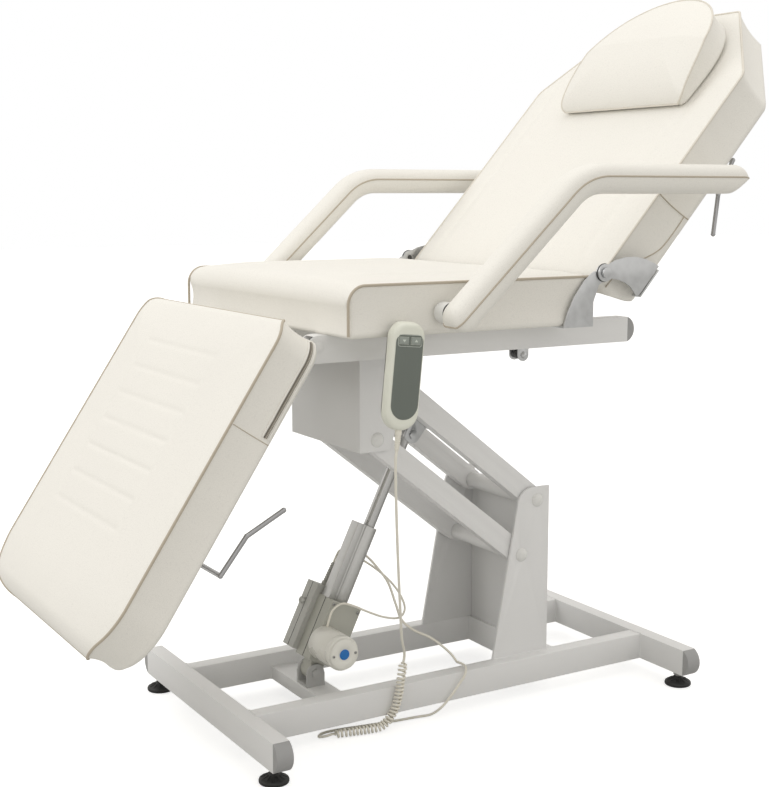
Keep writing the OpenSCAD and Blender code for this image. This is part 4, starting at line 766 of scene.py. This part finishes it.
seat_rim = rim_of([(seat_half, seat_rear), (-seat_half, seat_rear), (-seat_half, seat_front),
                   (seat_half, seat_front)], [15, 15, 9, 9])
seat = boxed("seat_upholstery", seat_rim, lambda p: np.full(len(p), float(seat_low)), seat_top, cover_draw,
             level, hide_look, middle=(0, -45))
upholstery(seat, "seat_frame", 0.8, "seat_cushion", "seat_board")

seat_lines = []
piping_x = seat_half - 0.5
for s in (-1, 1):
    ys = np.concatenate([np.linspace(seat_rear - 6, seat_front + roll_radius, 60),
                         seat_front + roll_radius * (1 - np.sin(np.linspace(0.1, math.pi / 2, 12)))])
    spots = np.column_stack([np.full(len(ys), s * piping_x), ys])
    heights = seat_top(spots, np.zeros(len(ys)))
    line = [(x * mm, y * mm, z * mm) for (x, y), z in zip(spots, heights)]
    line += straight((s * piping_x, seat_front, seat_edge - roll_radius - 4),
                     (s * piping_x, seat_front, seat_low + 4), 12)
    seat_lines.append(line)
# Piping in the darker beige: painted shade of the groove along it.
follow("seat_piping", seat_lines, piping_radius, shaded_piping_look, "seat_frame")

# Backrest
# Foam on a plywood board, narrower towards the head, with a piped front panel, a soft fold inside
# each long edge and side panels that are sewn up from two pieces.
# The paler piping is still a little darker than the cover: painted shade of the groove along it.
pale_piping_shade_look = look("pale_piping", (0.74, 0.70, 0.62), 0.5, tone=0.04, patch=30, grain=1300, relief=0.12,
                        cells=True)
hinge = Vector((0, 215, 805)) * mm
back_lean = math.radians(47.8)
at_back = Matrix.Translation(hinge) @ Matrix.Rotation(back_lean, 4, "X")
back_half, back_foot, back_head, back_edge, back_low = 300, -20, 650, -8, -96
taper_from, head_half, foot_round = 475, 167, 26
foot_slant_long, foot_slant_high = 36, 56
back_fold = back_half - fold_inside


def back_top(places, gap):
    """Height of the back's front panel: crowned, folded inside both sides, slightly hollow."""
    x, y = np.abs(places[:, 0]), places[:, 1]
    rise = swell(gap, crown, 120)
    fold = groove(x - back_fold, fold_deep, fold_half)
    fold *= ramp(taper_from + 40 - y, 80) * ramp(y - back_foot, 60)
    hollow = groove(x, hollow_deep, 160) * groove(y - 190, 1, 150)
    return back_edge + rise - fold - 0.8 * round_over(y - back_foot, foot_round) - hollow


def back_base(places):
    """Height of the back's rear side, which slants away at the foot."""
    slant = np.clip(1 - (places[:, 1] - back_foot) / foot_slant_long, 0, 1)
    return back_low + foot_slant_high * slant**1.3


back_rim = rim_of([(back_half, taper_from), (head_half, back_head), (-head_half, back_head),
                   (-back_half, taper_from), (-back_half, back_foot), (back_half, back_foot)],
                  [30, 12, 12, 30, 24, 24])
back = boxed("back_upholstery", back_rim, back_base, back_top, cover_draw, at_back, hide_look,
             middle=(0, 310), seed=2)
upholstery(back, "backrest", 0.8, "back_cushion", "back_board")


def edge_line(rim, top, place):
    """The outline at its edge height, in metres."""
    heights = top(rim, np.zeros(len(rim)))
    return [place @ (Vector((x, y, z)) * mm) for (x, y), z in zip(rim, heights)]


def side_skin(z, low, edge):
    """How far a cover's side lies inside its outline at a height, in millimetres."""
    return float(side_inset(min(1.0, max(0.0, (z - low) / (edge - low))), z - low, cover_draw))


def on_back_side(s, y, z):
    """Point just proud of the backrest's side cover, by its place along the back and its height."""
    low = back_base(np.array([[0, y]]))[0]
    return at_back @ (Vector((s * (back_half + 0.2 - side_skin(z, low, back_edge)), y, z)) * mm)


# Paler piping, darkened a little: painted shade of the groove along it.
follow("back_piping", [edge_line(back_rim, back_top, at_back)], piping_radius, pale_piping_shade_look, "backrest",
       closed=True)
side_seam = [[199, -82], [176, -83], [136, -82], [115, -78], [93, -68], [70, -54], [46, -42], [20, -34],
             [-6, -33]]
side_seam = [along(side_seam, i / 60) for i in range(61)]
cross_seam = [(189 - 0.15 * (z + 11), z) for z in range(-11, -95, -3)]
back_seams = [[on_back_side(s, y, z) for y, z in seam] for s in (-1, 1) for seam in (side_seam, cross_seam)]
# Seams drawn as thin dark beige lines: painted shade in the seams.
follow("back_side_seams", back_seams, 1.1 * mm, shaded_piping_look, "backrest")

# Pillow
# A half-moon pillow, thicker towards the head, that lies on the back. Piping runs round its front
# panel, and a boxed strip makes its sides.
pillow_from, pillow_long, pillow_half, pillow_x, pillow_lean = 387, 238, 176, 48, 0.107
pillow_seat, pillow_thin, pillow_thick, pillow_corner = 5.3, 10, 56, 18


def pillow_edge(y):
    """Height of the pillow's piped edge, which grows up to the middle of its length."""
    share = np.clip(2 * (y - pillow_from) / pillow_long, 0, 1)
    return pillow_seat + pillow_thin + (pillow_thick - pillow_thin) * share**0.5


def pillow_top(places, gap):
    """Height of the pillow's front panel."""
    return pillow_edge(places[:, 1]) - 3 + swell(gap, 15, 95, 2.2)


pillow_arc = [(pillow_half * math.cos(a),
               pillow_from + pillow_corner + (pillow_long - pillow_corner) * math.sin(a) ** (2 / 3))
              for a in np.linspace(0, math.pi / 2, 60)]
pillow_foot = [(pillow_half * (0.93 + 0.07 * math.sin(a)), pillow_from + pillow_corner * (1 - math.cos(a)))
               for a in np.linspace(0, math.pi / 2, 8)][:-1]
pillow_right = pillow_foot + pillow_arc
pillow_loop = pillow_right + [(-x, y) for x, y in reversed(pillow_right[:-1])]
pillow_loop = [(x + pillow_x + pillow_lean * (y - pillow_from), y) for x, y in pillow_loop]


def evened(loop, step):
    """A closed outline with its points spread evenly."""
    loop = np.array(list(loop) + [loop[0]], float)
    run = np.concatenate([[0], np.cumsum(np.linalg.norm(np.diff(loop, axis=0), axis=1))])
    spots = np.linspace(0, run[-1], int(run[-1] / step) + 1)[:-1]
    return np.column_stack([np.interp(spots, run, loop[:, i]) for i in (0, 1)])


pillow_rim = evened(pillow_loop, 3.2)
pillow_middle = (pillow_x + pillow_lean * 90, pillow_from + 90)
pillow = boxed("pillow_upholstery", pillow_rim, lambda p: np.full(len(p), pillow_seat), pillow_top, 3,
               at_back, hide_look, middle=pillow_middle, side_steps=12, top_steps=56, seed=3)
upholstery(pillow, "pillow", 0.75, "pillow")
# Paler piping, darkened a little: painted shade of the groove along it.
follow("pillow_piping", [edge_line(pillow_rim, pillow_top, at_back)], 1.9 * mm, pale_piping_shade_look, "pillow",
       closed=True)

# Leg rest
# One long foam pad on plywood with wide round corners at the foot. The front panel is piped and shows
# faint stitched rows, and each side has a zip between two thin pipings near its rear edge.
knee = Vector((0, -292, 697)) * mm
leg_lean = math.radians(56.5)
at_leg = Matrix.Translation(knee) @ Matrix.Rotation(leg_lean, 4, "X")
leg_half, leg_foot, leg_knee, leg_low, leg_edge = 288, -588, 2, 20.5, 96.5
foot_corner, knee_corner, toe_round, knee_round = 100, 46, 34, 15
row_first, row_step, row_count, row_half, post_foot, post_top = -400, 52, 7, 150, -410, -60


def leg_top(places, gap):
    """Height of the leg rest's front panel: crowned, with rows of stitching between two upright ones."""
    x, y = np.abs(places[:, 0]), places[:, 1]
    rise = swell(gap, crown, 120)
    drop = round_over(y - leg_foot, toe_round) + round_over(leg_knee - y, knee_round)
    nearest = np.clip(np.round((y - row_first) / row_step), 0, row_count - 1) * row_step + row_first
    rows = groove(y - nearest, 1.3, 4.5) * ramp(row_half - x, 12)
    posts = groove(x - row_half, 0.9, 5) * ramp(post_top - y, 20) * ramp(y - post_foot, 20)
    return leg_edge + rise - drop - rows - posts


leg_rim = rim_of([(leg_half, leg_knee), (-leg_half, leg_knee), (-leg_half, leg_foot), (leg_half, leg_foot)],
                 [knee_corner, knee_corner, foot_corner, foot_corner])
leg = boxed("leg_upholstery", leg_rim, lambda p: np.full(len(p), leg_low), leg_top, cover_draw, at_leg,
            hide_look, middle=(0, -290), top_steps=96, seed=4)
upholstery(leg, "legrest", 0.8, "leg_cushion", "leg_board")
# Piping in the darker beige: painted shade of the groove along it.
follow("leg_piping", [edge_line(leg_rim, leg_top, at_leg)], piping_radius, shaded_piping_look, "legrest",
       closed=True)
zip_z, zip_half, zip_foot, zip_sweep = 33, 5.5, -172, 1.05
corner_y = leg_knee - knee_corner
zip_run = [(leg_half, y) for y in range(zip_foot, corner_y, 6)]
zip_run += [(leg_half - knee_corner * (1 - math.cos(a)), corner_y + knee_corner * math.sin(a))
            for a in np.linspace(0, zip_sweep, 12)]


def on_leg_side(s, run, z, proud):
    """Points beside the pad's side, by the outline's points and a height, standing proud of the cover."""
    line = []
    for x, y in run:
        inwards = max(0.0, y - corner_y) / knee_corner
        out = Vector((s * math.sqrt(1 - inwards**2), inwards, 0))
        line.append(at_leg @ ((Vector((s * x, y, z)) + out * (proud - side_skin(z, leg_low, leg_edge))) * mm))
    return line


leg_zips, zip_slots, zip_teeth, leg_seams = [], [], [], []
for s in (-1, 1):
    for z in (zip_z - zip_half, zip_z + zip_half):
        leg_zips.append(on_leg_side(s, zip_run, z, 0.6))
    zip_slots.append(on_leg_side(s, zip_run, zip_z, -1.6))
    zip_teeth.append(on_leg_side(s, zip_run, zip_z, 0.9))
    leg_seams.append([on_leg_side(s, [(leg_half, zip_foot - 7)], z, -0.1)[0] for z in range(23, 95, 3)])
follow("leg_zip_piping", leg_zips, 1.7 * mm, hide_look, "legrest")
# Seams drawn as thin dark beige lines: painted shade in the seams.
follow("leg_side_seams", leg_seams, 0.8 * mm, shaded_piping_look, "legrest")
# The dark strip sunk between the zip's two pipings is painted shade in the zip's slot.
zip_slot_shade_look = look("zip_slot_painted_shade", (0.20, 0.18, 0.15), 0.8, tone=0.1, patch=40, grain=2500, relief=0.1)
teeth_look = look("zip_teeth", (0.68, 0.63, 0.54), 0.7, tone=0.05, patch=60, grain=3000, relief=0.2)
follow("leg_zip_slot_shade", zip_slots, 3.4 * mm, zip_slot_shade_look, "legrest")
follow("leg_zip_teeth", zip_teeth, 1.1 * mm, teeth_look, "legrest", pitch=2.6 * mm,
       dash=1.4 * mm)

# Armrests
# A bent steel core in foam under one leatherette sleeve, with a piped seam along each side. Each turns
# on a white plastic hub at the side of the seat.
arm_x, arm_half_wide, arm_half_thick = 366, 28, 25
arm_pivot, arm_corner, arm_tip, arm_heel, arm_bend = (-111, 752), (118, 963), 477, 28, 100
heel_round, heel_round_wide, tip_round = 25, 20, 24
arm_angle = math.atan2(arm_corner[1] - arm_pivot[1], arm_corner[0] - arm_pivot[0])
arm_cut = arm_bend * math.tan(arm_angle / 2)
arm_rise = math.dist(arm_pivot, arm_corner) - arm_cut
arm_arc = arm_bend * arm_angle
arm_total = arm_heel + arm_rise + arm_arc + arm_tip - arm_corner[0] - arm_cut


def arm_line(d):
    """Place and slope of the armrest's middle line at a distance from its heel."""
    s = d - arm_heel
    if s <= arm_rise:
        return arm_pivot[0] + s * math.cos(arm_angle), arm_pivot[1] + s * math.sin(arm_angle), arm_angle
    over = s - arm_rise - arm_arc
    if over >= 0:
        return arm_corner[0] + arm_cut + over, arm_corner[1], 0.0
    a = arm_angle * (1 - (s - arm_rise) / arm_arc)
    return arm_corner[0] + arm_cut - arm_bend * math.sin(a), arm_corner[1] - arm_bend * (1 - math.cos(a)), a


def end_share(d, r):
    """Share of the full size at a distance from an end that is rounded over a length r."""
    return 1.0 if d >= r else math.sqrt(max(0.0004, 1 - (1 - d / r) ** 2))


def arm_size(d):
    """Half the sleeve's width and thickness at a distance from its heel."""
    tip_share = end_share(arm_total - d, tip_round)
    wide = arm_half_wide * (1 + min(end_share(d, heel_round_wide), tip_share)) / 2
    return wide, arm_half_thick * min(end_share(d, heel_round), tip_share)


def arm_section(turn):
    """Section of the sleeve: round above, flatter below the seams; turn 0 points outwards."""
    c, s = math.cos(turn), math.sin(turn)
    power = 2.35 if s > 0 else 3.6
    grow = (abs(c) ** power + abs(s) ** power) ** (-1 / power)
    return c * grow, s * grow


def arm_point(s, d, across, up, back_off=0.0):
    """Point of the sleeve on side s of the chair, by the distance from its heel and its section."""
    y, z, slope = arm_line(d)
    wide, thick = arm_size(d)
    return (s * (arm_x + across * wide) * mm, (y - back_off - up * thick * math.sin(slope)) * mm,
            (z + up * thick * math.cos(slope)) * mm)


arm_sides = 56
end_steps = [heel_round * (1 - math.cos(i * math.pi / 20)) for i in range(10)]
arm_stations = end_steps + list(np.linspace(heel_round + 2, arm_total - heel_round - 1, 110))
arm_stations += [arm_total - step for step in reversed(end_steps)]
bend_middle = arm_heel + arm_rise + arm_arc / 2
wrinkle_high, wrinkle_reach, wrinkle_wave = 0.35, 60, 0.45
seam_turn, nose, nose_reach = math.radians(8), 30, 90
for name, s in [("armrest_left", 1), ("armrest_right", -1)]:
    points, seams = [], {1: [], -1: []}
    for d in arm_stations:
        wrinkle = wrinkle_high * math.sin(d * wrinkle_wave)
        wrinkle *= math.exp(-(((d - bend_middle) / wrinkle_reach) ** 2))
        for k in range(arm_sides):
            across, up = arm_section(2 * math.pi * k / arm_sides)
            under = max(0.0, -up)
            tuck = 1 - 0.16 * under**1.5 + (wrinkle / 25 if up < 0.3 else 0)
            back_off = nose * under**1.3 * max(0.0, 1 - (arm_total - d) / nose_reach) ** 2
            points.append(arm_point(s, d, across * tuck, up, back_off))
        across, up = arm_section(seam_turn)
        for side in (1, -1):
            seams[side].append(arm_point(s, d, side * across, up))
    sleeve = solid(name + "_sleeve", points, ring_faces(len(arm_stations), arm_sides), hide_look)
    upholstery(sleeve, name, 0.9, name)
    # Piping in the darker beige: painted shade of the groove along it.
    follow(name + "_piping", [seams[1] + seams[-1][::-1]], 1.5 * mm, shaded_piping_look, name,
           closed=True)
hub_look = look("hub_plastic", (0.80, 0.80, 0.78), 0.3, tone=0.02, patch=20, grain=900, relief=0.05)
bolt_look = look("black_oxide", (0.10, 0.10, 0.10), 0.38, metal=0.9, tone=0.2, patch=90, grain=2000,
                 relief=0.1)
hub_face_x = 331


def painted(made, material, where):
    """Gives the faces of a piece whose middle satisfies a test, in millimetres, another material."""
    made.data.materials.append(material)
    for face in made.data.polygons:
        if where(face.center / mm):
            face.material_index = len(made.data.materials) - 1


hubs = rounded("armrest_hubs", 1.6 * mm, hub_look, 3)
painted(hubs, bolt_look, lambda spot: abs(spot.x) > hub_face_x)

# Hinge plates and bolts
# Laser-cut 3 mm steel plates, zinc plated and passivated: the horns on the seat and the sickles on
# the back, on bright bolts with black washers. The leg rest's brackets and bolts are painted white.
for node in ["seat_hinge_plates", "back_hinge_plates"]:
    rounded(node, 0.5 * mm, zinc_look, 2)
rounded("leg_brackets", 0.5 * mm, frame_white, 2)
pins = rounded("hinge_bolts", 0.8 * mm, bolt_look, 2)
washer_x = 319
painted(pins, zinc_look, lambda spot: spot.y > 0 and abs(spot.x) > washer_x)
painted(pins, frame_white, lambda spot: spot.y < 0)

# Release levers and gas struts
# Chrome-plated 8 mm bars, bent twice into a handle, turn in ears behind the boards. Each works the
# valve of a black gas strut with a ground steel rod.
chrome_look = look("chrome_bar", (0.42, 0.42, 0.43), 0.14, metal=1.0, tone=0.03, patch=50, grain=2500,
                   relief=0.03)
for node in ["back_lever", "leg_lever", "back_strut_rod", "leg_strut_rod"]:
    rounded(node, 0.6 * mm, chrome_look, 2)
strut_look = look("strut_paint", (0.02, 0.02, 0.021), 0.3, tone=0.2, patch=60, grain=1500, relief=0.06)
for node in ["back_strut_cylinder", "leg_strut_cylinder"]:
    rounded(node, 1.2 * mm, strut_look, 3)

# Hand control
# A pale grey-green ABS shell with round ends, a dark membrane face with two arrow buttons, and a
# hook at the back that hangs on a bracket at the seat's side.
handset_place = Vector((319, -206, 566)) * mm
handset_lean = math.radians(-5.74)
at_handset = Matrix.Translation(handset_place) @ Matrix.Rotation(handset_lean, 4, "X")
shell_look = look("handset_abs", (0.77, 0.78, 0.69), 0.42, tone=0.02, patch=30, grain=1500, relief=0.10)
face_look = look("handset_membrane", (0.15, 0.17, 0.15), 0.5, tone=0.05, patch=30, grain=2500, relief=0.08)
button_look = look("button_rubber", (0.30, 0.33, 0.30), 0.55, tone=0.04, patch=60, grain=2500, relief=0.08)
mark_look = look("pale_print", (0.62, 0.66, 0.60), 0.5, tone=0.02, patch=60, grain=2500, relief=0.02)
upright = Matrix(((0, 0, 1, 0), (1, 0, 0, 0), (0, 1, 0, 0), (0, 0, 0, 1)))
shell_half, shell_foot, shell_head, shell_side, shell_round, shell_bulge = 29.5, 7, 176, 15.6, 8, 7
handset_rim = rim_of([(shell_half, shell_head), (-shell_half, shell_head), (-shell_half, shell_foot),
                      (shell_half, shell_foot)], [23, 23, 28.5, 28.5], 2.5)


def shell_front(places, gap):
    """Height of the shell's front, which rounds off towards its outline."""
    return shell_side + shell_bulge * np.sqrt(np.clip(1 - np.clip(1 - gap / shell_round, 0, 1) ** 2, 0, 1))


def shell_back(places):
    """Height of the shell's flat back."""
    return np.zeros(len(places))


shell = boxed("handset_casing", handset_rim, shell_back, shell_front, -1.0, at_handset @ upright, shell_look,
              middle=(0, 88), side_steps=10, top_steps=40, seed=0)
exit_x, exit_ribs, exit_rib_pitch = 11.5, 6, 3.6
relief_profile = [(5.4, 12.0), (5.5, -1)]
for rib in range(exit_ribs):
    z = -2.5 - rib * exit_rib_pitch
    r = 5.2 - rib * 0.26
    relief_profile += [(r - 0.9, z), (r, z - 0.7), (r, z - 2.2), (r - 0.9, z - 2.9)]
relief_profile += [(3.6, -25.0), (2.7, -26)]
at_exit = at_handset @ Matrix.Translation((exit_x * mm, 0, 0))
relief = turned("handset_strain_relief", relief_profile, cord_look, at_exit)
hook_half = 9
box_faces = [(0, 1, 3, 2), (4, 6, 7, 5), (0, 4, 5, 1), (2, 3, 7, 6), (0, 2, 6, 4), (1, 5, 7, 3)]
hook_points, hook_faces = [], []
for x_range, z_range in [((-8, -5.5), (154, 173)), ((-8, 1), (172.5, 175))]:
    hook_faces += [tuple(len(hook_points) + i for i in face) for face in box_faces]
    hook_points += [at_handset @ (Vector((x, y, z)) * mm)
                    for x in x_range for y in (-hook_half, hook_half) for z in z_range]
hook = solid("handset_hook", hook_points, hook_faces, shell_look, smooth=False)
for part in (shell, relief, hook):
    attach(part, "handset")
    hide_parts("handset_shell")
rounded("handset_face", 0.3 * mm, face_look, 2)
for node in ["button_up", "button_down"]:
    rounded(node, 0.5 * mm, button_look, 2)
face_x, mark_low_x, mark_high_x = 23.1, 23.7, 23.95
panel_half, panel_low, panel_high, panel_corner = 21.5, 139, 157, 4
button_y, button_z, arrow_half = 11, 148, 3.2


def on_face(points, x):
    """Points of the hand control's face from (across, along) pairs, at a height x over its back."""
    return [at_handset @ (Vector((x, y, z)) * mm) for y, z in points]


panel = rim_of([(panel_half, panel_high), (-panel_half, panel_high), (-panel_half, panel_low),
                (panel_half, panel_low)], [panel_corner] * 4, 1.0)
follow("button_panel_outline", [on_face(panel, face_x)], 0.35 * mm, mark_look, "handset",
       closed=True)
arrow_faces = [(0, 1, 2), (3, 4, 5), (0, 1, 4, 3), (1, 2, 5, 4), (2, 0, 3, 5)]
for name, y, way in [("button_up", button_y, 1), ("button_down", -button_y, -1)]:
    arrow = [(y - arrow_half, button_z - 1.6 * way), (y + arrow_half, button_z - 1.6 * way),
             (y, button_z + 2.6 * way)]
    points = on_face(arrow, mark_low_x) + on_face(arrow, mark_high_x)
    mark = solid(name + "_arrow", points, arrow_faces, mark_look, False)
    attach(mark, name)

# Lift actuator
# A die-cast gearbox with an extruded aluminium profile and a steel push rod, a cream motor can with
# a plain blue disc, and a plastic control box clipped to its far side.
alloy_look = look("anodised_profile", (0.60, 0.60, 0.59), 0.36, metal=0.85, tone=0.05, patch=14, grain=420,
                  relief=0.14, pull=(6, 1.6, 0.6))
rounded("actuator_tube", 0.8 * mm, alloy_look, 2)
cast_look = look("gearbox_casting", (0.46, 0.46, 0.41), 0.45, tone=0.06, patch=40, grain=1200, relief=0.25)
rounded("gearbox", 2 * mm, cast_look, 3)
box_look = look("control_box_plastic", (0.47, 0.47, 0.44), 0.5, tone=0.04, patch=30, grain=1500, relief=0.18)
rounded("control_box", 2.2 * mm, box_look, 3)
rod_look = look("ground_steel", (0.62, 0.62, 0.62), 0.22, metal=1.0, tone=0.04, patch=60, grain=1800,
                relief=0.04)
rounded("actuator_rod", 0.6 * mm, rod_look, 2)
screw_look = look("lead_screw_steel", (0.45, 0.45, 0.44), 0.35, metal=1.0, tone=0.1, patch=90, grain=1800,
                  relief=0.1)
nodes["lead_screw"].data.materials.clear()
nodes["lead_screw"].data.materials.append(screw_look)

can_look = look("motor_can", (0.80, 0.79, 0.73), 0.3, tone=0.03, patch=20, grain=900, relief=0.08)
disc_look = look("blue_disc", (0.01, 0.16, 0.50), 0.35, tone=0.05, patch=60, grain=2000, relief=0.03)
to_side = Matrix.Rotation(math.radians(90), 4, "Y")
at_motor = at_actuator @ Matrix.Translation(Vector((28, -16, 58)) * mm) @ to_side
can_profile = [(26, 0.2), (30, 0.2), (31, 1.2), (31, 60), (30.4, 61), (30.4, 63), (31, 64), (31, 72.6),
               (30, 74), (28.4, 74.4), (28, 75.2), (28, 78.6), (26.6, 80), (12, 80), (11.4, 79.4), (6, 79.4)]
disc_profile = [(2, 79.2), (9.5, 79.2), (9.5, 80.1), (8.8, 80.5), (2, 80.5)]
can = turned("motor_can", can_profile, can_look, at_motor, 72)
disc = turned("motor_disc", disc_profile, disc_look, at_motor, 48)
for part in (can, disc):
    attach(part, "actuator_body")
    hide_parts("motor")


def screw_head(name, place, radius):
    """Zinc pan head with its cross recess drawn as two black bars, painted shade; its face towards the local
    +z.
    """
    profile = [(1, -1), (radius, -1), (radius, 0.8), (radius * 0.8, 1.5), (radius * 0.3, 1.8)]
    head = turned(name, profile, stem_look, place, 20)
    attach(head, "actuator_body")
    # The cross recess is two thin black bars: painted shade in the recess.
    reach = radius * 0.6
    slots = [[around(place, r, a, 1.75) for r in (-reach, reach)] for a in (0.4, 0.4 + math.pi / 2)]
    follow(name + "_cross", slots, 0.35 * mm, bolt_look, "actuator_body")


def actuator_line(corners):
    """Line through corners given in the actuator's own frame, in millimetres."""
    return [at_actuator @ (Vector(corner) * mm) for corner in corners]


for number, (x, y) in enumerate([(9.8, -19.6), (-9.8, 19.6)]):
    screw_head(f"motor_screw_{number + 1}", at_motor @ Matrix.Translation(Vector((x, y, 80)) * mm), 2.6)
gear_face = at_actuator @ Matrix.Translation(Vector((28, 0, 0)) * mm) @ to_side
for number, (y, z) in enumerate([(-25, 128), (30, 128), (30, 27)]):
    screw_head(f"gearbox_screw_{number + 1}", gear_face @ Matrix.Translation(Vector((-z, y, 0)) * mm), 3.2)
# The lid's seam and the gearbox's split line are thin black lines: painted shade in the gaps between the
# parts.
lid_seam = actuator_line([(-43, -40.2, 26), (-43, -40.2, 149.6), (-43, 15.2, 149.6), (-43, 15.2, 26)])
follow("control_box_lid_seam_shade", [lid_seam], 0.5 * mm, bolt_look, "actuator_body", closed=True)
gear_seam = actuator_line([(2, -30.2, 134.8), (2, -30.2, 21), (2, 35.2, 21), (2, 35.2, 134.8)])
follow("gearbox_split_line_shade", [gear_seam], 0.6 * mm, bolt_look, "actuator_body")
